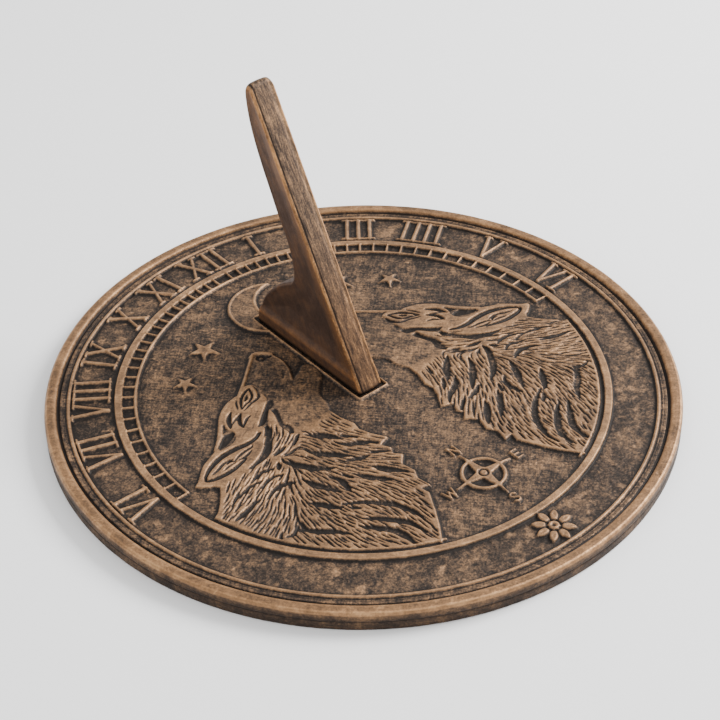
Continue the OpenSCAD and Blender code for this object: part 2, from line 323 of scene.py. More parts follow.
def draw_moon(cv):
    """A crescent between two circles, its edge higher than its face."""
    cx, cy, r = 2.2, 64.8, 17
    ix, iy, ri = cx + 10.5, cy - 1.5, 14.2
    win, x, y = cv.window(cx - r - 2, cx + r + 2, cy - r - 2, cy + r + 2)
    sd = np.maximum(np.hypot(x - cx, y - cy) - r, ri - np.hypot(x - ix, y - iy))
    face = 0.62 * smooth(0.45, -0.45, sd)
    cv.lift(win, RELIEF_H * np.maximum(face, smooth(0.9, 0.35, np.abs(sd + 0.75))))


# Centre of the compass, radius of its ring and distance of its letters
ROSE = (0, -70)
ROSE_R = 9.0
LETTER_R = 17.0


def letter_lines():
    """Lines of the letters N, E, S and W, centred on the origin."""
    n = [[(-1.5, -2.3), (-1.5, 2.3), (1.5, -2.3), (1.5, 2.3)]]
    e = [[(1.5, 2.2), (-1.3, 2.2), (-1.3, -2.2), (1.5, -2.2)], [(-1.3, 0), (1, 0)]]
    s = [curve([(1.4, 1.5), (0, 2.3), (-1.3, 1.2), (0, 0.1), (1.3, -1.1), (0, -2.3), (-1.4, -1.5)])]
    w = [[(-2.3, 2.2), (-1.2, -2.2), (0, 1.2), (1.2, -2.2), (2.3, 2.2)]]
    return [n, e, s, w]


def draw_compass(cv):
    """A ring with a sunk floor, four tapered arms, a boss and a letter beyond each arm."""
    cx, cy = ROSE
    win, d = cv.spot(cx, cy, 22)
    cv.h[win] = np.where(d < ROSE_R - 1, np.minimum(cv.h[win], -0.5), cv.h[win])
    cv.lift(win, RELIEF_H * smooth(0.45, -0.45, np.abs(d - ROSE_R + 0.8) - 0.75))
    for i in range(4):
        pts = shift(around([(-2.1, 1.5), (0, 13.2), (2.1, 1.5)], math.pi / 2 * i), cx, cy)
        raise_area(cv, pts, RELIEF_H, 0.4)
        raise_line(cv, [(cx, cy), pts[1]], 0.1, RELIEF_H * 1.2, 0.9)
    cv.lift(win, RELIEF_H * 1.1 * smooth(3.4, 2.8, d))
    cv.h[win] -= 0.75 * smooth(0.55, 0.2, np.abs(d - 1.75))
    for (dx, dy), lines in zip(((0, 1), (1, 0), (0, -1), (-1, 0)), letter_lines()):
        for line in lines:
            pts = shift(line, cx + LETTER_R * dx, cy + LETTER_R * dy)
            raise_line(cv, pts, 0.38, RELIEF_H * 0.9, 0.32)


def draw_rosette(cv):
    """A plain rosette of eight leaves in the south of the hour ring."""
    cx, cy = 0, -107.2
    for i in range(8):
        near, mid, out = shift(around([(0, 2.2), (0, 5.3), (0, 8.2)], math.pi / 4 * i), cx, cy)
        raise_line(cv, [near, mid, out], 0.3, RELIEF_H, 0.4, 1.65)
        sink_line(cv, [mid, out], 0.08, 0.4, soft=0.35)
    win, d = cv.spot(cx, cy, 4)
    cv.h[win] -= 0.7 * smooth(0.5, 0.2, np.abs(d - 2.75))
    cv.lift(win, RELIEF_H * 1.05 * smooth(2.5, 1.9, d))
    cv.h[win] -= 0.5 * smooth(1.2, 0.7, d)


# The casting pits that show most: x, y and radius
PITS = [(48.2, -113.9, 1.2), (9.6, 11.5, 0.8), (103.5, -52.5, 1)]


def draw_pits(cv, rng):
    """Small casting pits and pimples, a few placed and the rest scattered."""
    for x0, y0, r in PITS + [(*rng.uniform(-88, 88, 2), rng.uniform(0.3, 0.7)) for k in range(70)]:
        win, d = cv.spot(x0, y0, 3)
        rise = -0.45 if r > 0.75 else rng.choice((-0.5, 0.3))
        cv.h[win] += rise * r * smooth(r, 0.3 * r, d)


def draw_pocket(cv):
    """The pocket of the gnomon foot: a worn lip and a sunk floor."""
    hx, hy = FOOT_W / 2 + POCKET_GAP, (FOOT_NORTH - FOOT_SOUTH) / 2 + POCKET_GAP
    corner = 0.6
    win, x, y = cv.window(-12, 12, FOOT_SOUTH - 8, FOOT_NORTH + 8)
    qx = np.abs(x) - hx + corner
    qy = np.abs(y - (FOOT_SOUTH + FOOT_NORTH) / 2) - hy + corner
    outer = np.hypot(np.maximum(qx, 0), np.maximum(qy, 0))
    sd = outer + np.minimum(np.maximum(qx, qy), 0) - corner
    cv.lift(win, (RELIEF_H - 0.2) * smooth(1.25, 0.7, sd))
    wall = POCKET_Z - FIELD_Z + (RELIEF_H + 0.4) * smooth(-0.1, 0.3, sd)
    cv.h[win] = np.where(sd < 0.3, np.minimum(cv.h[win], wall), cv.h[win])


# Wolf on the west side, howling towards noon. Its outline runs from the nose over the
# bridge, brow and ear, down the nape to the hour band and up the ruff to the jaw.
NOSE = [(-16, 39.7), (-17.6, 41.8), (-19.5, 43.5), (-21.5, 44.1), (-23.5, 43.3)]
BRIDGE = [(-23.5, 43.3), (-30, 37.6), (-35, 33.1), (-40, 29), (-43, 26.6)]
BROW = [
    (-43, 26.6), (-44.6, 26.6), (-49, 25.6), (-53, 23.5), (-57, 20), (-60.5, 15.6), (-65, 10.5),
    (-69.2, 6.6)]
EAR_TOP = [(-69.2, 6.2), (-73, 4.4), (-77, 2.3), (-80, -0.1), (-83, -2.9), (-86.5, -5.6)]
EAR_LOW = [
    (-86.5, -5.6), (-84.5, -7.8), (-81, -9.6), (-76, -10.4), (-70, -10.5), (-65, -9.9), (-60, -8.3),
    (-55.5, -6), (-51, -2.4), (-47.4, 1.6), (-45.4, 4.4)]
NAPE = [(-81, -9.6), (-79.6, -11.6), (-82, -15.2), (-85, -18.8), (-88, -21.8), (-91, -23.6)]
NAPE_R = 93.8
NAPE_ARC = (195.5, 248.5)
RUFF = [
    (-35.9, -86.6), (-31.2, -80), (-26.8, -72.6), (-22.4, -64.4), (-23, -61.2), (-19.2, -61.8),
    (-20.3, -56), (-18.3, -52), (-19.6, -46.4), (-15.6, -42.2), (-18.2, -39.4), (-16.6, -36.6),
    (-18.6, -32.8), (-13.6, -31), (-17, -25.4), (-19, -20.3), (-18.2, -16.3), (-20, -10.2), (-20.4, -4)]
JAW = [
    (-20.4, -4), (-18.2, 0.4), (-17.4, 5.6), (-14.8, 9.4), (-11.6, 12.2), (-9, 15), (-7.9, 19),
    (-8.3, 23.4), (-10.8, 25.3), (-14.4, 23), (-19.2, 20.6)]
LIP = [(-19.2, 20.6), (-17.6, 23.8), (-16, 27.2), (-15.2, 30.4), (-15, 34.6), (-16, 39.7)]


def wolf_outline():
    return (curve(NOSE) + curve(BRIDGE)[1:] + curve(BROW)[1:] + curve(EAR_TOP)
            + curve(EAR_LOW[:3])[1:] + NAPE[1:] + arc_pts(0, 0, NAPE_R, *NAPE_ARC, 30) + RUFF
            + curve(JAW)[1:] + curve(LIP)[1:-1])


# Lie of the fur: a place and the direction there, in degrees
LIE = [
    (-78, -15, 221), (-65, -13, 207), (-82, -22, 205), (-70, -18, 207), (-60, -17, 212),
    (-80, -28, 200), (-60, -22, 206), (-65, -27, 202), (-82, -34, 201), (-75, -34, 207),
    (-82, -40, 200), (-75, -41, 209), (-68, -32, 225), (-66, -37, 229), (-70, -43, 214),
    (-62, -33, 256), (-57, -35, 264), (-52, -33, 274), (-53, -40, 280), (-61, -42, 266),
    (-66, -46, 266), (-75, -53, 268), (-71, -55, 273), (-66, -60, 276), (-58, -50, 280),
    (-61, -67, 280), (-55, -71, 287), (-50, -77, 291), (-47, -58, 290), (-52, -54, 285),
    (-41, -72, 283), (-41, -79, 278), (-37, -66, 266), (-34, -76, 268), (-31, -68, 273),
    (-28, -58, 283), (-24, -59, 278), (-23, -53, 291), (-33, -53, 285), (-38, -50, 286),
    (-46, -37, 277), (-49, -42, 279), (-45, -20, 286), (-41, -26, 289), (-36, -28, 300),
    (-36, -41, 303), (-41, -44, 292), (-31, -37, 306), (-27, -36, 315), (-22, -40, 314),
    (-25, -46, 308), (-30, -46, 299), (-29, -27, 306), (-24, -31, 314), (-18, -27, 304),
    (-38, -15, 286), (-35, -18, 280), (-30, -13, 292), (-24, -14, 287), (-22, -8, 276), (-22, -18, 293),
    (-48, -4, 38), (-43, -1, 58), (-46, -9, 32), (-30, -3, 262), (-30, 10, 250), (-27, 24, 236),
    (-20, 34, 240), (-14, 18, 235)]

# Wide dark partings of the ruff: points and half width
PARTINGS = [
    ([(-72.5, -26.4), (-76.5, -27.4), (-80.5, -28.8), (-86, -30)], 1),
    ([(-56.5, -28), (-60.5, -26), (-65, -26), (-69, -28)], 1),
    ([(-58, -16.4), (-62, -15.2), (-66, -16), (-69, -17.4)], 0.75),
    ([(-65.5, -19.2), (-69.5, -18.6), (-74, -19.4), (-78.5, -20.6), (-82.5, -23)], 0.55),
    ([(-57.5, -21.6), (-60.5, -20.2), (-64, -20.6), (-68, -22.2)], 0.7),
    ([(-52, -13.6), (-52.4, -16.4), (-50.4, -20), (-47.6, -24.6), (-43.6, -29),
      (-39.6, -31.6)], 1.35),
    ([(-54.4, -15), (-57, -18)], 0.7),
    ([(-53.6, -28), (-52, -33), (-49.4, -38), (-46.6, -43.4)], 1.3),
    ([(-45.2, -33.6), (-43, -37.6), (-43.4, -42), (-44.2, -45.4)], 1.15),
    ([(-37, -9), (-34, -12.2), (-31, -15), (-28.6, -18.6), (-27.2, -20.6)], 1.45),
    ([(-42.6, -15.4), (-41, -19.2), (-37.2, -24), (-33.2, -28), (-30.4, -31)], 1.35),
    ([(-31, -20.4), (-28, -24), (-24.6, -26.2), (-21, -28.2), (-18.2, -31.2)], 1.15),
    ([(-26.4, -18), (-24.8, -20.6), (-22, -23.8)], 0.75),
    ([(-34.2, -30.8), (-30, -33.2), (-25.6, -34.2)], 0.95),
    ([(-24.2, -33.2), (-20.6, -35.8), (-18.2, -37.6)], 0.8),
    ([(-37.2, -38.2), (-34.2, -43), (-30.8, -47.2), (-27.8, -50.4)], 1.15),
    ([(-29.2, -39.8), (-26.2, -44), (-22.6, -48.4), (-20.6, -50.8)], 1.3),
    ([(-40.2, -35.4), (-38.6, -40.2)], 0.7),
    ([(-59.8, -39.6), (-56.6, -44), (-53.4, -48.6), (-51.4, -49.8)], 1.2),
    ([(-51, -48.6), (-46.6, -51), (-41.2, -55.2), (-37, -60), (-34.6, -65.4),
      (-33.2, -71), (-33.6, -76)], 1.2),
    ([(-50.2, -51.2), (-46.6, -54.8)], 0.8),
    ([(-68.4, -45.2), (-69.2, -50), (-66.2, -54.2), (-62.6, -57), (-60, -60.4),
      (-58.4, -62.8)], 1.2),
    ([(-70.4, -46.8), (-71, -51.4)], 0.55),
    ([(-70.2, -46.8), (-74, -49.2), (-77.2, -48.8)], 0.6),
    ([(-50.2, -59.4), (-46, -62.6), (-42.8, -66.2), (-40, -69.4), (-38, -73.6),
      (-37.2, -79.8)], 1.25),
    ([(-53.6, -61.2), (-50, -65.6), (-47, -69.2), (-45, -72.6), (-43.8, -77.6),
      (-44, -82.8)], 1.3),
    ([(-53.6, -11.2), (-50, -10.4), (-46.8, -9.6)], 0.75),
    ([(-44, -11.2), (-42, -9.4), (-38.6, -7.4)], 0.65),
]


def lie_of(x, y):
    """Direction of the fur at a place, in radians, weighed from LIE."""
    q = np.array(LIE)
    w = 1 / ((x - q[:, 0]) ** 2 + (y - q[:, 1]) ** 2 + 4) ** 1.8
    a = np.radians(q[:, 2])
    return math.atan2((w * np.sin(a)).sum(), (w * np.cos(a)).sum())


def strand(x, y, length, bend):
    """A short line centred on (x, y) that follows the lie of the fur."""
    n = 4
    a = lie_of(x, y)
    x, y = x - math.cos(a) * length / 2, y - math.sin(a) * length / 2
    pts = [(x, y)]
    for i in range(n):
        a = lie_of(x, y) + bend * (i / n - 0.4)
        x += math.cos(a) * length / n
        y += math.sin(a) * length / n
        pts.append((x, y))
    return pts


def spread(region, across, along, rng):
    """Places that keep their distance: less across the lie of the fur than along it."""
    x0, x1, y0, y1 = region
    step = across * 0.6
    grid = [(x + rng.uniform(-step, step) / 2, y + rng.uniform(-step, step) / 2)
            for x in np.arange(x0, x1, step) for y in np.arange(y0, y1, step)]
    kept = np.full((len(grid), 2), 1e6)
    n = 0
    for k in rng.permutation(len(grid)):
        x, y = grid[k]
        a = lie_of(x, y)
        dx, dy = kept[:n, 0] - x, kept[:n, 1] - y
        u = (dx * math.cos(a) + dy * math.sin(a)) / along
        v = (dx * math.sin(a) - dy * math.cos(a)) / across
        if n == 0 or (u * u + v * v).min() > 1:
            kept[n] = (x, y)
            n += 1
    return kept[:n]


def in_ruff(x, y):
    return y < -8.6 - 2.4 * smooth(-50, -60, x) or (-52 < x < -40.5 and y < 2.5)


def draw_fur(cv, inside, rng):
    """Wide partings, a spread of fine grooves in the ruff and faint ones in the face."""
    for pts, w in PARTINGS:
        sink_line(cv, curve(pts, 5), 0.15, 1.1, w * 1.12, 0.32, 0.04)
    for x, y in spread((-92, -13, -88, 3), 1.12, 4.6, rng):
        length, w = rng.uniform(4.4, 7.2), rng.uniform(0.28, 0.42)
        depth, bend = rng.uniform(0.55, 0.95), rng.uniform(-0.2, 0.2)
        if in_ruff(x, y) and inside(x, y) < -1.0:
            sink_line(cv, strand(x, y, length, bend), 0.05, depth, w, 0.26, 0.12)
    for x, y in spread((-36, -8, -9, 38), 1.7, 5, rng):
        length = rng.uniform(3, 6)
        if y > -8.6 and inside(x, y) < -1.6 and (x > -33 or y < 2):
            sink_line(cv, strand(x, y, length, 0), 0.05, 0.09, 0.4, 0.5, 0.1)


def draw_ear(cv):
    """A light rim round a dark furrow, with a light tuft of hair in the middle."""
    raise_line(cv, curve(shift(EAR_TOP[:-1], 1, -1.2) + [(-85, -5.7)]), 1.2)
    raise_line(cv, curve([(-85, -5.7), (-83.4, -7.1)] + shift(EAR_LOW[2:-1], 0, 1.1)), 1.15)
    furrow = [
        (-49.4, 3), (-53, 1.5), (-57.5, 1.1), (-62.5, 1.7), (-68, 1.6), (-72.5, 0.6), (-77, -1.4),
        (-80.4, -3.8), (-81.2, -5.6), (-79, -6.8), (-75, -7.3), (-70.5, -7.2), (-66.6, -6.4),
        (-62.6, -5.3)]
    sink_line(cv, curve(furrow[:8]), 0.4, 1.1, 1.2, 0.3)
    sink_line(cv, curve(furrow[7:]), 0.4, 1.05, 0.95, 0.3)
    for pts, w in (
            ([(-77.6, -4.4), (-74.4, -3.6), (-72, -2.5), (-68.8, -1.8), (-66.4, -2.4)], 0.5),
            ([(-70, -3.2), (-68.2, -2.6), (-67, -3.6)], 0.55),
            ([(-66.8, -3.7), (-64.2, -2.6), (-60.6, -1.8), (-57, -1.5), (-55.8, -0.4)], 0.45),
            ([(-65.2, -4.2), (-61.6, -4.2), (-58, -2.9)], 0.45),
            ([(-73, -5.4), (-69.6, -4.5), (-66.6, -4.4)], 0.35)):
        sink_line(cv, curve(pts), 0.1, 0.95, w, 0.26)


def draw_brow(cv):
    """Light border, dark pockets, two zigzag marks and the smooth cheek below them."""
    raise_line(cv, curve(shift(BROW[1:], 0.8, -0.9)), 1.1)
    raise_area(cv, curve([
        (-69, 4.6), (-61, 5.2), (-57, 9), (-58, 15), (-56, 19), (-52, 22.4), (-47, 25), (-43.6, 25.4),
        (-40, 28), (-36.4, 29.4), (-33.6, 27.5), (-34.4, 22.4), (-35, 17.4), (-40, 12.6), (-46, 7.2),
        (-46.4, 3.2), (-52, 1), (-60, 2.6), (-68, 2.2)], 5, True), RELIEF_H * 0.97, 0.5)
    sink_area(cv, curve([
        (-67, 6.2), (-63.8, 9), (-61, 10.6), (-58.2, 10.5), (-57.2, 9.2), (-60, 7.5), (-63.6, 6)], 5,
        True), 0.95)
    sink_area(cv, [(-60.6, 12.2), (-58.4, 15.8), (-56.9, 16), (-58, 12.4)], 0.4)
    for pts, w in (([(-50.6, 20.2), (-52.8, 18.4), (-54.8, 15.8), (-56.5, 12.5)], 0.95),
                   ([(-56.5, 12.5), (-54.8, 14.1), (-52, 15.4), (-48.2, 17)], 0.42),
                   ([(-48.3, 16.9), (-50.6, 14.8), (-51.9, 12.4), (-52.4, 9.6)], 0.85),
                   ([(-52.4, 9.8), (-50, 11.7), (-48, 13), (-46, 13.5)], 0.5)):
        sink_line(cv, curve(pts), 0.12, 1, w, 0.28)
    sink_area(cv, curve([
        (-47.8, 6.2), (-45, 8.7), (-42, 11.2), (-39.4, 13.2), (-36.4, 15.4), (-34, 16.2), (-34.6, 13.6),
        (-36.4, 12.6), (-38.6, 12), (-41.4, 9.2), (-44.6, 6.6)], 5, True), 0.9, 0.4)
    for x0, y0, x1, y1 in ((-44.6, 15.6, -40.6, 17.6), (-45.4, 11.6, -41, 14.6),
                           (-50.6, 6.4, -46.8, 9.4), (-56.6, 5.2, -52.6, 7.2),
                           (-47.4, 22.6, -50.2, 20.6), (-53.6, 21, -50.6, 22.8)):
        sink_line(cv, [(x0, y0), ((x0 + x1) / 2, (y0 + y1) / 2 + 0.2), (x1, y1)], 0.05, 0.22, 0.35)


def draw_eye(cv):
    """An almond eye: dark lid lines, a light ball with a dark pupil, a fold on each side."""
    for pts, w, depth, w1, soft in (
            ([(-46.2, 18.9), (-44.2, 22.2), (-41.6, 24.9), (-39, 26.3), (-36.4, 27.3)],
             0.2, 1, 0.6, 0.28),
            ([(-46.2, 18.9), (-43, 20.4), (-40, 21.4), (-37.8, 23.4), (-36.4, 27.3)],
             0.2, 1, 0.5, 0.28),
            ([(-42.4, 22), (-40.8, 23.2), (-39.8, 24.4)], 0.1, 1, 0.65, 0.28),
            ([(-47.6, 19.6), (-46.2, 22.4), (-44.4, 24.9)], 0.1, 0.8, 0.4, 0.3),
            ([(-46.2, 17.6), (-43.6, 18.5), (-41, 19.5), (-38.4, 19.9), (-36.2, 21),
              (-34.6, 24), (-34.2, 27.6)], 0.12, 0.85, 0.65, 0.3)):
        sink_line(cv, curve(pts), w, depth, w1, soft)


def draw_muzzle(cv):
    """Light edge of the bridge and nose, the nostril and the corner of the mouth."""
    raise_line(cv, curve(shift(BRIDGE, 0.4, -0.7)), 0.8)
    raise_line(cv, curve(shift(NOSE, -0.2, -0.8)), 0.95)
    raise_line(cv, curve(shift(LIP[:-1], -0.6, 0) + [(-16.6, 38.6)]), 0.5, RELIEF_H * 0.8, 0.7)
    win, x, y = cv.window(-26, -14, 34, 46)
    d = np.hypot((x + 20.7) / 1.1, y - 39.6)
    cv.h[win] -= 0.9 * smooth(2.2, 1.5, d)
    cv.lift(win, 0.7 * smooth(0.9, 0.3, d))
    sink_line(cv, curve([(-18.9, 38.6), (-17.8, 38.2), (-16.2, 38.3)]), 0.1, 0.7, 0.4)


def draw_cheek(cv):
    """The lock that points up beside the jaw, and the dark gaps round it and under the ear."""
    sink_area(cv, curve([
        (-45.4, 4.8), (-48, 1.4), (-52, -3.4), (-56, -6.6), (-60.4, -8.9), (-65.4, -10.8),
        (-58.4, -10.6), (-53.2, -8.6), (-49.2, -4.4), (-46, 0.2), (-43.8, 3.2)], 5, True), 1, 0.4)
    lock = curve([
        (-44.6, 3.6), (-42.4, 7.4), (-40.4, 9.8), (-38, 12), (-38.4, 8.4), (-39.8, 4.8), (-41.6, 1.6),
        (-42.4, -3)], 5, True)
    raise_area(cv, lock, RELIEF_H, 0.5)
    sink_area(cv, curve([
        (-37.6, 10.8), (-38, 8.2), (-39.2, 5), (-41, 2), (-40.8, -1), (-40.6, -5), (-39, -4.8),
        (-37.6, -1.2), (-38.6, 2.2), (-37, 6.6), (-35.8, 10.4)], 5, True), 0.85, 0.45)


def draw_wolf(cv, seed):
    rng = np.random.default_rng(seed)
    outline = wolf_outline()
    win, x, y = cv.window(*box_of(outline, 3))
    sd = sd_polygon(x, y, outline)
    ruff = smooth(-1, -10.5, y)
    ruff = np.maximum(ruff, smooth(-38.5, -40.5, x) * smooth(5, 2, y))
    cv.lift(win, RELIEF_H * (0.53 + 0.43 * ruff) * smooth(0.45, -0.45, sd))
    x0, y0 = x[0, 0], y[0, 0]

    def inside(px, py):
        j = int(np.clip((px - x0) / cv.pitch, 0, x.shape[1] - 1))
        i = int(np.clip((py - y0) / cv.pitch, 0, x.shape[0] - 1))
        return sd[i, j]

    draw_muzzle(cv)
    draw_brow(cv)
    draw_ear(cv)
    draw_eye(cv)
    draw_cheek(cv)
    draw_fur(cv, inside, rng)
    edge = arc_pts(0, 0, NAPE_R - 0.6, *NAPE_ARC, 40)
    for i in range(0, 40, 5):
        raise_line(cv, edge[i:i + 6], 0.5, RELIEF_H * 0.98, 0.35)
    raise_line(cv, shift(RUFF[:4], -0.5, 0), 0.6, RELIEF_H, 0.4)


def draw_medallion(cv):
    west, east = Canvas(), Canvas()
    draw_wolf(west, 11)
    draw_wolf(east, 12)
    cv.h = np.maximum(cv.h, np.maximum(west.h, east.h[:, ::-1]))
    for side in (-1, 1):
        draw_star(cv, side * 35.2, 58.8, 6.4)
        draw_star(cv, side * 53.7, 46.4, 4.7)
    draw_moon(cv)
    draw_compass(cv)


def value_noise(shape, cell, rng):
    """Smooth random field, about cell grid steps across each blotch, from -1 to 1."""
    grid = rng.uniform(-1, 1, [int(n / cell) + 4 for n in shape])
    u, v = np.arange(shape[0])[:, None] / cell, np.arange(shape[1])[None, :] / cell
    i, j = u.astype(int), v.astype(int)
    return blend(grid, i, j, smooth(0, 1, u - i), smooth(0, 1, v - j))


# ---- Dial plate ----
def ring_section():
    """Radius and height of the plain turned surface, from the centre to the rim."""
    lo, hi = HOUR_BAND
    t, g = THIN_RING_R, RIM_R - RIM_W
    step = FIELD_Z + 0.55 * RELIEF_H
    return ([(0, FIELD_Z)]
            + shift([(-0.25, -1.25), (0, -0.25), (0.3, 0)], lo, RELIEF_Z)
            + shift([(-0.35, 0), (0, -0.3), (0.3, -1.25)], hi, RELIEF_Z)
            + shift([(-1.5, -1.25), (-1.25, -0.3), (-0.95, 0), (-0.35, 0), (0, -0.35)], t, RELIEF_Z)
            + shift([(0.25, -0.25), (1.3, 0), (1.45, -0.2), (1.7, 0)], t, step)
            + shift([(-1.2, 0), (-0.95, -0.1)], g, step)
            + shift([(-0.75, -0.1), (0.05, -0.1)], g, FIELD_Z)
            + shift([(0.35, -0.1), (0.6, 0.3), (1.1, 0.66)], g, RELIEF_Z)
            + shift([(1.8, -0.04), (2.6, 0), (RIM_W - RIM_ROUND, -0.06)], g, PLATE_H))


def side_section():
    """Radius and height down the outer edge to the inner edge of the resting ring."""
    r, low = RIM_R, 0.8
    top = arc_pts(r - RIM_ROUND, PLATE_H - RIM_ROUND, RIM_ROUND, 90, 0, 8)
    foot = arc_pts(r - low, low, low, 0, -90, 5)
    return top[1:] + [(r, 5), (r, 4.5), (r - 0.22, 4.25), (r - 0.22, 4), (r - 0.05, 3.7),
                      (r, 3.2)] + foot + [(r - 6, 0)]


def skin(name, rows, top, bottom):
    """A closed solid from rings of points, whose counts may double or halve, and two end points."""
    groups, start = [], 0
    for a, b in zip(rows, rows[1:]):
        n = min(len(a), len(b))
        j = np.arange(n)
        ka, kb = len(a) // n, len(b) // n
        inner = [start + (j * ka + i) % len(a) for i in range(ka + 1)]
        outer = [start + len(a) + (j * kb + i) % len(b) for i in range(kb + 1)]
        groups.append(np.stack(inner[:1] + outer + inner[:0:-1], -1))
        start += len(a)
    first, last = np.arange(len(rows[0])), start + np.arange(len(rows[-1]))
    end = start + len(last)
    groups.append(np.stack([np.full(len(first), end), first, np.roll(first, -1)], -1))
    groups.append(np.stack([np.full(len(last), end + 1), np.roll(last, -1), last], -1))
    return mesh_from(name, np.concatenate([*rows, [top], [bottom]]), groups)


def mesh_from(name, verts, groups):
    """A mesh from vertices in mm and arrays of faces with equal corner counts."""
    me = bpy.data.meshes.new(name)
    me.from_pydata((verts * MM).tolist(), [], [face for g in groups for face in g.tolist()])
    return me


def add_object(name, me):
    ob = bpy.data.objects.new(name, me)
    bpy.context.scene.collection.objects.link(ob)
    return ob


def box_mesh(bm, low, high):
    """A box from its lowest to its highest corner, in mm."""
    low, high = Vector(low) * MM, Vector(high) * MM
    size = Matrix.Diagonal((high - low).to_4d())
    bmesh.ops.create_cube(bm, size=1, matrix=Matrix.Translation((low + high) / 2) @ size)


def cylinder_mesh(bm, x, y, r, z0, z1, n=64):
    m = Matrix.Translation(Vector((x, y, (z0 + z1) / 2)) * MM)
    bmesh.ops.create_cone(bm, cap_ends=True, segments=n, radius1=r * MM, radius2=r * MM,
                          depth=(z1 - z0) * MM, matrix=m)


def mesh_of(bm, name):
    """The mesh of a bmesh, which is freed."""
    me = bpy.data.meshes.new(name)
    bm.to_mesh(me)
    bm.free()
    return me


def combine(ob, make, operation):
    """Join to, or cut from, ob the closed solids that make() builds."""
    bm = bmesh.new()
    make(bm)
    tool = add_object("tool", mesh_of(bm, "tool"))
    mod = ob.modifiers.new("solid", "BOOLEAN")
    mod.object, mod.operation, mod.solver = tool, operation, "MANIFOLD"
    done = bpy.data.meshes.new_from_object(ob.evaluated_get(bpy.context.evaluated_depsgraph_get()))
    ob.modifiers.clear()
    old, ob.data = ob.data, done
    bpy.data.meshes.remove(old)
    bpy.data.objects.remove(tool)
    done.name = ob.name


def pedestal_places():
    return arc_pts(0, 0, PEDESTAL_R, 90, 330, 2)


def underside_bosses(bm):
    """The pad round the two screws and the three bosses of the pedestal holes."""
    box_mesh(bm, (-PAD_W / 2, FOOT_SOUTH - 1, PAD_LOW), (PAD_W / 2, FOOT_NORTH + 1, PAD_HIGH))
    bmesh.ops.bevel(bm, geom=bm.edges[:], offset=0.4 * MM, segments=2, affect="EDGES")
    for x, y in pedestal_places():
        cylinder_mesh(bm, x, y, BOSS_R, PAD_LOW, PAD_HIGH)


def underside_holes(bm):
    """Counterbored holes for the gnomon screws, and blind holes for the pedestal."""
    for y in SCREW_YS:
        cylinder_mesh(bm, 0, y, COUNTERBORE_R, -1, SEAT_Z)
        cylinder_mesh(bm, 0, y, SCREW_HOLE_R, SEAT_Z - 0.4, POCKET_Z + 0.3)
    for x, y in pedestal_places():
        cylinder_mesh(bm, x, y, PEDESTAL_HOLE_R, -1, PEDESTAL_HOLE_TOP)


# Points in each ring of the plate's mesh, out to INNER_R, to OUTER_R and beyond
CENTRE_COLS, INNER_COLS, OUTER_COLS = 480, 960, 1920
INNER_R, OUTER_R = 20.0, 45.0
ROW_STEP = 0.37


def make_relief():
    cv = Canvas()
    draw_numerals(cv)
    draw_ladder(cv)
    draw_medallion(cv)
    draw_rosette(cv)
    rng = np.random.default_rng(5)
    draw_pits(cv, rng)
    n = cv.h.shape
    lumps = (0.07 * value_noise(n, 21, rng) + 0.06 * value_noise(n, 9, rng)
             + 0.06 * value_noise(n, 4.3, rng) + 0.04 * value_noise(n, 2.6, rng))
    low = smooth(0.9, 0.3, cv.h)
    cv.h += lumps * (0.35 + 0.65 * low)
    draw_pocket(cv)
    cv.h = blur(cv.h, 0.8)
    return cv


def with_detail(r):
    """True on the fields that carry relief, false on the turned mouldings."""
    return (r < LADDER_OUT + 0.2) | ((r > HOUR_BAND[1] + 0.1) & (r < THIN_RING_R - 1.3))


def ring(r, z, cols):
    turn = np.arange(cols) * 2 * math.pi / cols
    return np.stack([r * np.cos(turn), r * np.sin(turn), np.broadcast_to(z, cols)], -1)


def top_rows(cv):
    sec = np.array(ring_section())
    radii = np.concatenate([np.arange(0.8, RIM_R - 1.8, ROW_STEP), sec[1:, 0]])
    radii = np.unique(np.round(radii, 3))
    radii = radii[np.concatenate([[True], np.diff(radii) > 0.12])]
    rows = []
    for r in radii:
        cols = CENTRE_COLS if r < INNER_R else INNER_COLS if r < OUTER_R else OUTER_COLS
        row = ring(r, 0, cols)
        detail = cv.sample(row[:, 0], row[:, 1])
        if not with_detail(r):
            detail = np.minimum(detail, 0) * 0.5
        row[:, 2] = np.interp(r, sec[:, 0], sec[:, 1]) + detail
        rows.append(row)
    return rows


def wavy(cols, cell, rng):
    """Smooth noise round a circle."""
    fade = smooth(0, 4 * cell, np.arange(cols)) * smooth(cols, cols - 4 * cell, np.arange(cols))
    return value_noise((2, cols), cell, rng)[0] * fade


def side_rows(rng):
    rows = []
    for r, z in side_section():
        row = ring(1, z, OUTER_COLS)
        row[:, :2] *= np.minimum(r + 0.05 * wavy(OUTER_COLS, 9, rng), RIM_R)[:, None]
        rows.append(row)
    return rows


def under_rows(rng):
    """The resting ring, the step up into the hollow and the rough ceiling of the hollow."""
    rows = [ring(r, z, CENTRE_COLS) for r, z in
            ((RIM_R - 9, 0), (RIM_R - 13, 0), (RIM_R - 13.4, 0.3), (RIM_R - 15, HOLLOW_Z - 0.3),
             (RIM_R - 15.5, HOLLOW_Z))]
    for r in np.arange(RIM_R - 17, 3, -1.6):
        rough = 0.09 * wavy(CENTRE_COLS, 3, rng) + 0.12 * wavy(CENTRE_COLS, 11, rng)
        rows.append(ring(r, HOLLOW_Z + rough, CENTRE_COLS))
    return rows


def make_dial(material):
    cv = make_relief()
    rng = np.random.default_rng(6)
    rows = top_rows(cv) + side_rows(rng) + under_rows(rng)
    ob = add_object("dial_plate_cast", skin("plate", rows, (0, 0, POCKET_Z), (0, 0, HOLLOW_Z)))
    combine(ob, underside_bosses, "UNION")
    combine(ob, underside_holes, "DIFFERENCE")
    paint_dial(ob, cv)
    finish_piece(ob, material, "dial_plate")


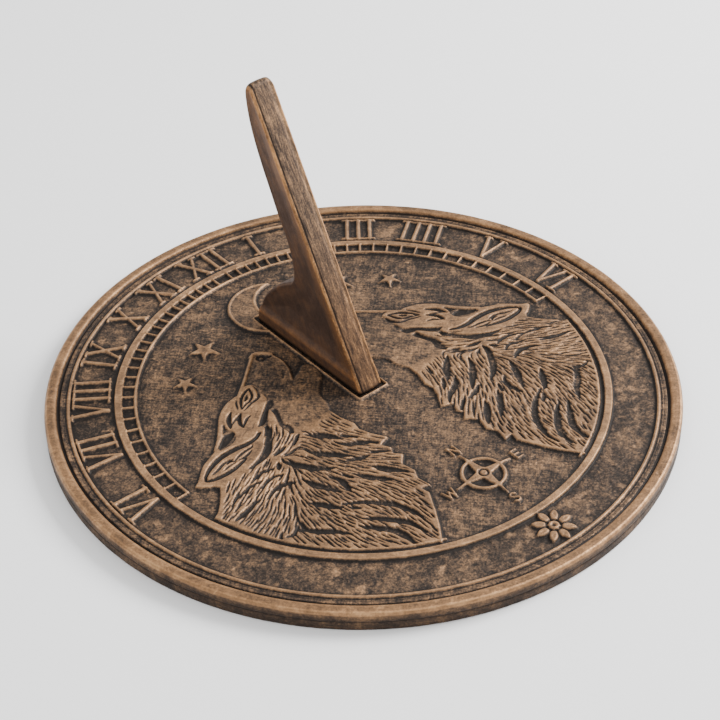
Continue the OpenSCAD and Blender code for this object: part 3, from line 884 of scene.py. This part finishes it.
def finish_piece(ob, material, node):
    ob.data.materials.clear()
    ob.data.materials.append(material)
    ob.data.polygons.foreach_set("use_smooth", np.ones(len(ob.data.polygons), bool))
    ob.data.update()
    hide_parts(node)
    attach(ob, "root")


def places(me):
    """x, y and z of a mesh's vertices, in mm."""
    co = np.empty(len(me.vertices) * 3, np.float32)
    me.vertices.foreach_get("co", co)
    return (co.reshape(-1, 3) / MM).T


def set_values(me, **values):
    """Store one number for each vertex under each name, for the materials to read."""
    for name, v in values.items():
        at = me.attributes.new(name, "FLOAT", "POINT")
        at.data.foreach_set("value", np.asarray(v, np.float32))


def paint_dial(ob, cv):
    """Vertex values for the patina: rub is 1 on rubbed relief; the darkening is 1 in corners and goes
    below 0 for a painted highlight along the rounding of the rim.
    """
    x, y, z = places(ob.data)
    r = np.hypot(x, y)
    axis = np.arange(cv.n) * cv.pitch - cv.half
    grid_r = np.hypot(*np.meshgrid(axis, axis))
    sec = np.array(ring_section())
    full = np.interp(grid_r, sec[:, 0], sec[:, 1]).astype(np.float32)
    full += np.where(with_detail(grid_r), cv.h, 0)
    full = np.where(grid_r > RIM_R - RIM_ROUND, PLATE_H, full)
    fine, broad = [Canvas(full - blur(full, sigma)).sample(x, y) for sigma in (3.5, 11)]
    up = smooth(FIELD_Z + 0.35 * RELIEF_H, FIELD_Z + 0.8 * RELIEF_H, z)
    rub = np.clip(0.62 * up + 0.9 * np.clip(fine, -0.2, 0.5) + 0.25 * np.clip(broad, 0, 1), 0, 1)
    grime = np.clip(-1.9 * fine - 0.75 * broad, 0, 1)

    # Moulding, rim and its crests
    rim_in = RIM_R - RIM_W
    step = smooth(THIN_RING_R + 0.1, THIN_RING_R + 0.5, r) * smooth(rim_in + 0.3, rim_in - 0.2, r)
    rub *= 1 - 0.75 * step
    crest = smooth(1, 0.2, np.abs(r - rim_in - 1.1)) + smooth(RIM_R - 1.5, RIM_R - 0.5, r)
    rub = np.where(r > rim_in + 0.5, 0.66 + 0.34 * np.clip(crest, 0, 1), rub)
    grime = np.where(r > rim_in + 1, 0, grime)

    # Outer wall: dark, most of all in its groove and at its foot, with a painted highlight line on the
    # rounding
    wall_z = PLATE_H - RIM_ROUND
    side = (r > RIM_R - 3) & (z < wall_z + 0.5)
    rub = np.where(side, 0.75 + 0.2 * smooth(wall_z - 0.6, wall_z + 0.5, z), rub)
    grime = np.where(side, 0.62 * smooth(wall_z + 0.45, wall_z - 0.3, z) + 0.1 * smooth(3.2, 0.5, z)
                     + 0.3 * smooth(0.5, 0.1, np.abs(z - 4.1)), grime)
    # Painted highlight: a light line along the rounding at the top of the outer wall, set as a darkening
    # below 0
    grime -= 0.25 * smooth(0.5, 0.1, np.abs(r - RIM_R + 0.9)) * (z > wall_z)

    # Underside, lighter on the faces next to the floor
    under = (z < 5) & (r < RIM_R - 0.8)
    rub = np.where(under, 0.65, rub)
    grime = np.where(under, 0.64 - 0.36 * smooth(1, 0.6, z), grime)

    gold = np.where(r > rim_in, 0.75, 0.3 * up)
    band = smooth(HOUR_BAND[1], HOUR_BAND[1] + 0.5, r) * smooth(THIN_RING_R, THIN_RING_R - 0.5, r)
    set_values(ob.data, rub=rub, grime=grime, gold=gold, band=band)


# ---- Gnomon ----
# Side view (y, z) from the top of the plate's relief. RISE stretches it to the frame's height,
# less the crown of its edge.
RISE = (TIP_Z - RELIEF_Z - 0.32) / 112.8
STYLE_FOOT, STYLE_TOP = (FOOT_SOUTH, 0), (56.9, 111.2)
GNOMON_TIP = [(57.6, 112.3), (59, 112.8), (60.6, 111.8)]
GNOMON_BACK = [(61.4, 108), (60.8, 100), (59.2, 92.5), (56.8, 85.3), (53.6, 77.5),
               (49.6, 69), (45.9, 61), (42.5, 54.5), (39.8, 49), (38, 43.4), (37.1, 37.6),
               (37.3, 33), (38.9, 30.2), (42.2, 27.8), (47, 24.4), (53, 18.6), (57.6, 12.6),
               (60, 7), (61.2, 2)]
PLINTH_Z = RELIEF_Z + 6
# Rows of points across the edge and the groove of the style, as shares of the half width
CROSS_AT = [0.9, 0.75, 0.6, 0.5, 0.4, 0.25, 0.1, -0.05, -0.2, -0.35, -0.5, -0.65, -0.78, -0.86,
            -0.91, -0.955, -0.985]
GROOVE_AT = 0.765
ROUND = 1.0  # radius between the sides and the edge
GRID = 0.9  # spacing of the points inside the two sides


def gnomon_outline():
    """Side view (y, z) in even steps, and which of its points are on the style face."""
    raised = [(y, z * RISE + RELIEF_Z) for y, z in [STYLE_FOOT, STYLE_TOP] + GNOMON_TIP]
    style = [Vector(raised[0]).lerp(Vector(raised[1]), i / 150) for i in range(151)]
    back = curve([(y, z * RISE + RELIEF_Z) for y, z in GNOMON_TIP + GNOMON_BACK], 8)
    foot = [(FOOT_NORTH - 0.2, POCKET_Z + 0.7), (FOOT_NORTH - 0.8, POCKET_Z)]
    front = [(FOOT_SOUTH + 1.4, POCKET_Z), (FOOT_SOUTH + 0.5, POCKET_Z + 0.5)]
    rough = [tuple(q) for q in style] + back + foot + front
    loop = rough + rough[:1]
    run = np.concatenate([[0], np.cumsum([math.dist(a, b) for a, b in zip(loop, loop[1:])])])
    n = int(run[-1] / 0.75)
    at = np.arange(n) * run[-1] / n
    pts = np.stack([np.interp(at, run, [q[k] for q in loop]) for k in (0, 1)], -1)
    return pts, at < math.dist(raised[0], raised[1])


def distance_from_style(y, z):
    """Distance north of the style line, square to it."""
    top = np.array([STYLE_TOP[0], STYLE_TOP[1] * RISE]) - np.array(STYLE_FOOT)
    along = top / np.hypot(*top)
    return (y - STYLE_FOOT[0]) * along[1] - (z - RELIEF_Z) * along[0]


def half_thickness(y, z, depth_in):
    """Half the gnomon's thickness: tapered from the style to the back, with hollow sides."""
    from_style = distance_from_style(y, z)
    plinth = smooth(PLINTH_Z + 0.9, PLINTH_Z - 0.3, z)
    t = GNOMON_T / 2 - 1.0 * smooth(1, 18, from_style) * (1 - plinth) + 0.2 * plinth
    inner = np.minimum(depth_in - 0.9, z - PLINTH_Z)
    hollow = 0.4 * smooth(0, 1.4, inner) + 1.1 * smooth(0.6, 10, inner)
    belly = 0.25 * smooth(2.6, 0, np.abs(z - PLINTH_Z + 2.6))
    tip = smooth(TIP_Z - 4.5, TIP_Z + 0.5, z)
    return t - hollow - 1.9 * tip * tip + belly * plinth * smooth(0.5, 3, depth_in)


def gnomon_mesh():
    """Two flat sides of triangles, joined by rows of points across the edge between them."""
    pts, on_style = gnomon_outline()
    n = len(pts)
    step = np.roll(pts, -1, 0) - np.roll(pts, 1, 0)
    out = np.stack([-step[:, 1], step[:, 0]], -1) / np.hypot(*step.T)[:, None]
    out = (np.roll(out, 1, 0) + 2 * out + np.roll(out, -1, 0)) / 4
    side = pts - out * ROUND
    gy, gz = np.meshgrid(np.arange(FOOT_SOUTH, FOOT_NORTH + 1.5, GRID),
                         np.arange(POCKET_Z, TIP_Z, GRID))
    free = sd_polygon(gy, gz, side) < -0.6
    spots = [Vector(q) for q in np.concatenate([side, np.stack([gy[free], gz[free]], -1)])]
    edges = [(i, (i + 1) % n) for i in range(n)]
    found = delaunay_2d_cdt(spots, edges, [], 1, 1e-5)
    flat, faces = np.array([tuple(q) for q in found[0]]), np.array(found[2])
    at = np.empty(n, int)
    for k, origins in enumerate(found[3]):
        at[[o for o in origins if o < n]] = k
    half = half_thickness(*flat.T, -sd_polygon(*flat.T, pts))
    edge_half = half[at]
    verts = [np.column_stack([half, flat]), np.column_stack([-half, flat])]

    def add_rounding(facing, angles):
        for a in np.radians(angles):
            x = facing * (edge_half - ROUND * (1 - math.cos(a)))
            verts.append(np.column_stack([x, side + out * ROUND * math.sin(a)]))

    add_rounding(1, (30, 60, 90))
    for k in CROSS_AT:
        x = (edge_half - ROUND) * k
        verts.append(np.column_stack([x, pts + out * style_form(x, edge_half, on_style)[:, None]]))
    add_rounding(-1, (90, 60, 30))
    m = len(flat)
    rows = [at] + [2 * m + i * n + np.arange(n) for i in range(len(verts) - 2)] + [at + m]
    groups = [faces, faces[:, ::-1] + m]
    groups += [np.stack([p, q, np.roll(q, -1), np.roll(p, -1)], -1) for p, q in zip(rows, rows[1:])]
    return mesh_from("gnomon", np.concatenate(verts), groups)


def style_form(x, half, on_style):
    """How far the edge face stands out: crowned, and on the style a groove and a bevel."""
    u = x / half
    crown = 0.3 * (1 - u * u)
    groove = 0.3 * smooth(0.06, 0.02, np.abs(u + GROOVE_AT))
    bevel = 0.8 * np.clip((u - 0.4) / 0.6, 0, 1)
    return np.where(on_style, crown - groove - bevel, crown)


def tapped_holes(bm):
    for y in SCREW_YS:
        cylinder_mesh(bm, 0, y, TAPPED_HOLE_R, POCKET_Z - 1, POCKET_Z + 10, 32)


def make_gnomon(material):
    me = gnomon_mesh()
    bm = bmesh.new()
    bm.from_mesh(me)
    bmesh.ops.recalc_face_normals(bm, faces=bm.faces)
    bm.to_mesh(me)
    bm.free()
    ob = add_object("gnomon_cast", me)
    combine(ob, tapped_holes, "DIFFERENCE")
    paint_gnomon(ob.data)
    finish_piece(ob, material, "gnomon")


def paint_gnomon(me):
    """Vertex values for the patina and for painted light and shade, from 0 to 1: where each kind of
    surface is.
    """
    x, y, z = places(me)
    depth_in = -sd_polygon(y, z, gnomon_outline()[0])
    away = np.minimum(depth_in, np.maximum(z - PLINTH_Z, 0))
    near = distance_from_style(y, z)
    style = (depth_in < 1) & (z > RELIEF_Z) & (np.abs(x) < GNOMON_T / 2) & (near < 3)
    # Painted shadow at the foot of the gnomon, down in the pocket
    low = smooth(RELIEF_Z + 1.2, RELIEF_Z - 0.5, z)
    # Lighter on the rounded edges, partly wear and partly painted highlight, most near the style
    edge = smooth(1.5, 0.3, depth_in) * smooth(3, 4.6, np.abs(x))
    edge *= 0.35 + 0.65 * smooth(3.5, 1.5, near)
    # Painted highlight: a light line along the top of the plinth
    strip = smooth(0.8, 0.2, np.abs(z - PLINTH_Z + 0.9)) * (depth_in > 0.6)
    set_values(me, edge=np.clip(edge - low, 0, 1), strip=np.clip(strip - low, 0, 1), low=low,
               # Painted light on the sides, strongest next to the style
               warm=smooth(11, 0, near) * smooth(PLINTH_Z - 1.5, PLINTH_Z + 4, z),
               # Painted shade inside the hollow of each side
               hollow=smooth(1.5, 9, away) * ~style, style=style,
               foot=smooth(PLINTH_Z - 0.5, RELIEF_Z + 0.5, z),
               # The back face, painted darker as shade against the reflection it catches
               back=(depth_in < 1.2) & ~style & (np.abs(x) < GNOMON_T / 2 - 0.6))


# ---- Materials ----
class Nodes:
    """Short calls to add nodes to a material; each gives the output of the node it adds."""

    def __init__(self, name):
        self.mat = bpy.data.materials.new(name)
        self.mat.use_nodes = True
        self.mat.node_tree.nodes.clear()
        shader = self.node("BsdfPrincipled", {})
        self.inputs = shader.node.inputs
        self.node("OutputMaterial", {0: shader}, None)
        self.place = self.node("TexCoord", {}, "Object")

    def put(self, socket, v):
        if isinstance(v, bpy.types.NodeSocket):
            self.mat.node_tree.links.new(v, socket)
        else:
            socket.default_value = v

    def node(self, kind, inputs, output=0, **settings):
        n = self.mat.node_tree.nodes.new("ShaderNode" + kind)
        for name, v in settings.items():
            setattr(n, name, v)
        for key, v in inputs.items():
            self.put(n.inputs[key], v)
        return None if output is None else n.outputs[output]

    def shade(self, **inputs):
        """Set or link inputs of the shader, named with _ for a space."""
        for name, v in inputs.items():
            self.put(self.inputs[name.replace("_", " ")], v)

    def math(self, op, a, b=0, clamp=False):
        return self.node("Math", {0: a, 1: b}, operation=op, use_clamp=clamp)

    def times(self, a, b):
        return self.math("MULTIPLY", a, b)

    def attribute(self, name):
        return self.node("Attribute", {}, "Fac", attribute_name=name)

    def noise(self, mm, detail=4, rough=0.55, distort=0, stretch=(1, 1, 1), turn=(0, 0, 0)):
        """Noise with blotches about mm across, drawn out by stretch along the turned axes."""
        scale = [mm * MM * v for v in stretch]
        at = self.node("Mapping", {"Vector": self.place, "Rotation": turn, "Scale": scale},
                       vector_type="TEXTURE")
        return self.node("TexNoise", {"Vector": at, "Scale": 1, "Detail": detail,
                                      "Roughness": rough, "Distortion": distort}, "Fac")

    def total(self, *terms):
        """Sum of plain numbers, sockets and (socket, factor, offset) terms."""
        out = 0
        for t in terms:
            if isinstance(t, tuple):
                socket, factor, *offset = t
                t = self.times(self.math("SUBTRACT", socket, *offset), factor)
            out = self.math("ADD", out, t)
        return out

    def ramp(self, fac, at, *colours):
        """A ramp through screen colours at the given positions."""
        out = self.node("ValToRGB", {0: fac})
        stops = out.node.color_ramp.elements
        while len(stops) < len(at):
            stops.new(1)
        for k, colour in enumerate(colours):
            stops[k].position = at[k]
            stops[k].color = rgba(*colour)
        return out

    def remap(self, v, a, b, lo=0, hi=1):
        return self.node("MapRange", {"Value": v, "From Min": a, "From Max": b, "To Min": lo,
                                      "To Max": hi}, interpolation_type="SMOOTHSTEP")

    def mix(self, fac, a, b):
        return self.node("Mix", {0: fac, 6: a, 7: b}, 2, data_type="RGBA")

    def bump(self, height, strength, mm):
        self.shade(Normal=self.node("Bump", {"Strength": strength, "Distance": mm * MM,
                                             "Height": height}))


def rgba(r, g, b):
    """A colour given as on a screen, 0 to 255, in linear light."""
    return (*(((v / 255 + 0.055) / 1.055) ** 2.4 for v in (r, g, b)), 1)


def plate_material():
    """Antique bronze: dark in the corners, mottled on the fields, rubbed light on the relief."""
    n = Nodes("antique_bronze_plate")
    rub, band = n.attribute("rub"), n.attribute("band")
    cloud = n.noise(14, 4, 0.6, 0.5)
    patch = n.noise(4.2, 6, 0.65, 0.6)
    grain = n.noise(0.75, 4, 0.7)
    brush_a, brush_b = [n.noise(0.9, 4, 0.7, 0.3, (1, 7, 1), (0, 0, a)) for a in (0.75, -0.8)]
    fleck = n.remap(n.noise(5.5, 3, 0.5, 0.3), 0.52, 0.7)
    mottle = n.remap(n.total((cloud, 1.3, 0.5), (patch, 1.4, 0.5), 0.5), 0.2, 0.85)
    brush = n.times(n.total((brush_a, 0.9, 0.5), (brush_b, 0.75, 0.5)), n.total((band, -0.7), 1))
    blots = n.times(fleck, n.total((band, 0.15), 0.13))
    field = n.total((mottle, 0.32), (grain, 1.25, 0.5), brush, blots, 0.13)
    worn = n.total((cloud, 0.5, 0.5), (patch, 0.7, 0.5), (grain, 0.45, 0.5), (brush_a, 0.35, 0.5),
                   0.68)
    # The darkening is patina in corners; below 0 it is a painted highlight along the rim's rounding
    tone = n.total(n.times(field, n.math("SUBTRACT", 1, rub)), n.times(worn, rub),
                   (n.attribute("grime"), -0.6))
    tone = n.math("ADD", tone, 0, clamp=True)
    at = (0, 0.2, 0.42, 0.66, 1)
    plain = n.ramp(tone, at, (34, 29, 26), (60, 49, 41), (99, 78, 60), (145, 111, 80),
                   (200, 158, 114))
    golden = n.ramp(tone, at, (38, 29, 23), (62, 47, 36), (98, 73, 50), (138, 102, 69),
                    (190, 147, 102))
    n.shade(Base_Color=n.mix(n.attribute("gold"), plain, golden), Metallic=0.5,
            Specular_IOR_Level=0.25, Roughness=n.remap(tone, 0, 1, 0.6, 0.4))
    n.bump(n.total((grain, 0.8), (brush_a, 0.5), (brush_b, 0.4), (patch, 0.6)), 0.7, 0.24)
    return n.mat


# Turns the streaks so that they run along the style
STYLE_TURN = (math.radians(-29.1), 0, 0)


def gnomon_material():
    """Bronze, streaked along the style, with painted shade in the hollow sides, on the back and at the
    foot, and edges lighter as wear and painted highlight.
    """
    n = Nodes("antique_bronze_gnomon")
    back = n.attribute("back")
    streak = n.noise(0.8, 5, 0.8, 0.3, (1, 1, 8), STYLE_TURN)
    bands = n.noise(2.6, 4, 0.65, 0.4, (1, 1, 4), STYLE_TURN)
    grain = n.noise(0.7, 4, 0.7)
    cloud = n.noise(7, 5, 0.6, 0.4)
    across = n.node("SeparateXYZ", {0: n.place}, "X")
    height = n.node("SeparateXYZ", {0: n.place}, "Z")
    u = n.math("DIVIDE", across, GNOMON_T / 2 * MM)
    # Painted highlight, partly wear, along the two edges of the style
    ridge_wear_and_highlight = n.remap(n.math("ABSOLUTE", u), 0.8, 0.9)
    groove = n.remap(n.math("ABSOLUTE", n.math("ADD", u, GROOVE_AT)), 0.07, 0.02)
    # Painted highlight on the bevel of the style
    bevel = n.remap(u, 0.36, 0.5)
    on_style = n.total((streak, 1.7, 0.5), (bands, 1.1, 0.5), (grain, 0.9, 0.5), (ridge_wear_and_highlight, 0.22),
                       (groove, -0.4), (bevel, 0.14), 0.34)
    # Sides: a painted highlight line on the plinth, painted light near the style, painted shade in the
    # hollow and on the back; edges lighter as wear and painted highlight
    on_side = n.total((n.attribute("edge"), 0.42), (n.attribute("strip"), 0.36),
                      (n.attribute("hollow"), -0.08), (n.attribute("warm"), 0.22),
                      (cloud, 0.45, 0.5), (grain, 0.3, 0.5), (bands, 0.4, 0.5),
                      (streak, 0.2, 0.5), (n.attribute("foot"), 0.14), (back, -0.12), 0.34)
    greyish = n.ramp(on_style, (0, 0.3, 0.52, 0.75, 1), (42, 34, 29), (76, 61, 50),
                     (112, 88, 67), (154, 118, 83), (204, 158, 110))
    brown = n.ramp(on_side, (0, 0.3, 0.55, 0.8, 1), (46, 36, 33), (76, 58, 48), (110, 78, 54),
                   (156, 108, 66), (210, 154, 98))
    copper = n.ramp(on_style, (0.2, 0.9), (104, 70, 42), (196, 140, 84))
    tan = n.ramp(on_style, (0, 0.5, 1), (46, 34, 27), (108, 78, 53), (196, 144, 92))
    # Copper along the style's edges: painted highlight, partly wear
    upper = n.mix(n.times(ridge_wear_and_highlight, 0.6), greyish, copper)
    style = n.mix(n.remap(height, 75 * MM, 20 * MM, 0, 0.7), upper, tan)
    colour = n.mix(n.attribute("style"), brown, style)
    rough = n.remap(n.total(on_side, (back, -0.6)), 0, 1, 0.68, 0.45)
    # Painted shadow at the foot of the gnomon, down in the pocket, mixed in as a near-black colour
    n.shade(Base_Color=n.mix(n.attribute("low"), colour, rgba(30, 24, 21)), Metallic=0.45,
            Specular_IOR_Level=0.2, Roughness=rough)
    n.bump(n.total(streak, (grain, 0.6), (bands, 0.8)), 0.7, 0.26)
    return n.mat


def fastener_material(name, dark, light):
    """Turned metal with fine rings, dull patches and small dark specks."""
    n = Nodes(name)
    rings = n.noise(0.12, 3, 0.6, 0, (40, 40, 1))
    patch = n.noise(1.2, 5, 0.65, 0.4)
    speck = n.noise(0.3, 3, 0.7)
    tone = n.total((rings, 0.35, 0.5), (patch, 1.1, 0.5), (speck, 0.4, 0.5), 0.55)
    n.shade(Base_Color=n.ramp(tone, (0.15, 0.8), dark, light), Metallic=0.9,
            Roughness=n.remap(patch, 0.3, 0.7, 0.5, 0.3))
    n.bump(n.total((rings, 0.5), (speck, 0.4)), 0.3, 0.05)
    return n.mat


# ---- Fasteners ----
WASHER_H, WASHER_R = 0.9, 3.8
HEAD_R, HEAD_H = 4, 2.4
SLOT_W, SLOT_DEPTH = 1.2, 1
SHANK_R, SCREW_LEN, PITCH, THREAD_H = 1.95, 10, 0.7, 0.36


def slot_cut(bm):
    z = SEAT_Z - WASHER_H - HEAD_H
    box_mesh(bm, (-HEAD_R - 1, -SLOT_W / 2, z - 1), (HEAD_R + 1, SLOT_W / 2, z + SLOT_DEPTH))


def make_screw(node, y, material):
    """Slotted pan-head screw, M4, standing on its head under the washer."""
    cols = 48
    seat = SEAT_Z - WASHER_H
    tip = seat + SCREW_LEN
    turn = np.arange(cols) / cols
    rows = [ring(1, tip, cols)]
    for z in np.arange(tip - 0.3, seat + 0.6, -PITCH / 8):
        phase = (z / PITCH - turn) % 1
        depth = THREAD_H * (1 - np.abs(2 * phase - 1)) * smooth(tip, tip - 0.9, z)
        row = ring(1, z, cols)
        row[:, :2] *= (SHANK_R - THREAD_H + depth)[:, None]
        rows.append(row)
    head = [(1.75, seat + 0.5), (1.75, seat), (HEAD_R - 0.15, seat), (HEAD_R, seat - 0.15)]
    head += arc_pts(HEAD_R - 1.1, seat - HEAD_H + 1.1, 1.1, 0, -90, 6) + [(1.2, seat - HEAD_H)]
    rows += [ring(r, z, cols) for r, z in head]
    ob = add_object(node + "_m4", skin(node, rows, (0, 0, tip), (0, 0, seat - HEAD_H)))
    combine(ob, slot_cut, "DIFFERENCE")
    ob.data.transform(Matrix.Translation((0, y * MM, 0)))
    finish_piece(ob, material, node)


def make_washer(node, y, material):
    """Split spring washer, its two ends slightly out of line."""
    n, gap = 72, 5.5
    inner, chamfer, h = 2.15, 0.14, WASHER_H - 0.1
    section = [(inner, chamfer), (inner, h - chamfer), (inner + chamfer, h), (WASHER_R - chamfer, h),
               (WASHER_R, h - chamfer), (WASHER_R, chamfer), (WASHER_R - chamfer, 0),
               (inner + chamfer, 0)]
    bm = bmesh.new()
    loops = []
    for i in range(n + 1):
        a = math.radians(35 + gap + (360 - 2 * gap) * i / n)
        z0 = SEAT_Z - WASHER_H + 0.1 * i / n
        loops.append([bm.verts.new(Vector((r * math.cos(a), r * math.sin(a) + y, z0 + z)) * MM)
                      for r, z in section])
    for a, b in zip(loops, loops[1:]):
        for k in range(len(section)):
            bm.faces.new((a[k], a[k - 1], b[k - 1], b[k]))
    bm.faces.new(loops[0])
    bm.faces.new(loops[-1][::-1])
    bmesh.ops.recalc_face_normals(bm, faces=bm.faces)
    ob = add_object(node + "_split", mesh_of(bm, node + "_split"))
    finish_piece(ob, material, node)


# ---- Camera, light and floor ----
def make_camera():
    azimuth, elevation, roll = [math.radians(a) for a in (-39.5, 39.45, -1.07)]
    distance = 718.1 * MM
    aim = Vector((-0.8, 0.7, 19.1)) * MM
    back = Vector((math.sin(azimuth) * math.cos(elevation),
                   -math.cos(azimuth) * math.cos(elevation), math.sin(elevation)))
    cam = bpy.data.cameras.new("camera")
    cam.sensor_width = 36
    cam.lens = 90.26
    cam.clip_start = 0.01
    ob = add_object("camera", cam)
    place = Vector((0, 0, RELIEF_Z * MM)) + back * distance
    look = (aim - place).to_track_quat("-Z", "Y").to_matrix().to_4x4()
    ob.matrix_world = Matrix.Translation(place) @ look @ Matrix.Rotation(roll, 4, "Z")
    bpy.context.scene.camera = ob


def area_light(name, place, power, size):
    light = bpy.data.lights.new(name, "AREA")
    light.energy, light.size = power, size
    ob = add_object(name, light)
    ob.location = place
    ob.rotation_euler = (-Vector(place)).to_track_quat("-Z", "Y").to_euler()


def make_studio():
    me = bpy.data.meshes.new("floor")
    me.from_pydata([(-4, -4, 0), (4, -4, 0), (4, 4, 0), (-4, 4, 0)], [], [(0, 1, 2, 3)])
    floor = add_object("floor", me)
    n = Nodes("pale_floor")
    n.shade(Base_Color=(0.96, 0.96, 0.96, 1), Roughness=0.9)
    me.materials.append(n.mat)
    world = bpy.data.worlds.new("studio")
    world.use_nodes = True
    colour, strength = world.node_tree.nodes["Background"].inputs[:2]
    colour.default_value = (1, 1, 1, 1)
    strength.default_value = 1.15
    bpy.context.scene.world = world
    area_light("key", (1, -0.3, 0.8), 34, 0.6)
    area_light("fill", (-0.7, -0.6, 0.9), 3, 1)


make_camera()
make_studio()
make_dial(plate_material())
make_gnomon(gnomon_material())
brass = fastener_material("dull_brass", (120, 92, 48), (196, 158, 92))
steel = fastener_material("zinc_steel", (104, 104, 108), (178, 178, 182))
for side, y in zip(("south", "north"), SCREW_YS):
    make_screw(side + "_screw", y, brass)
    make_washer(side + "_lock_washer", y, steel)
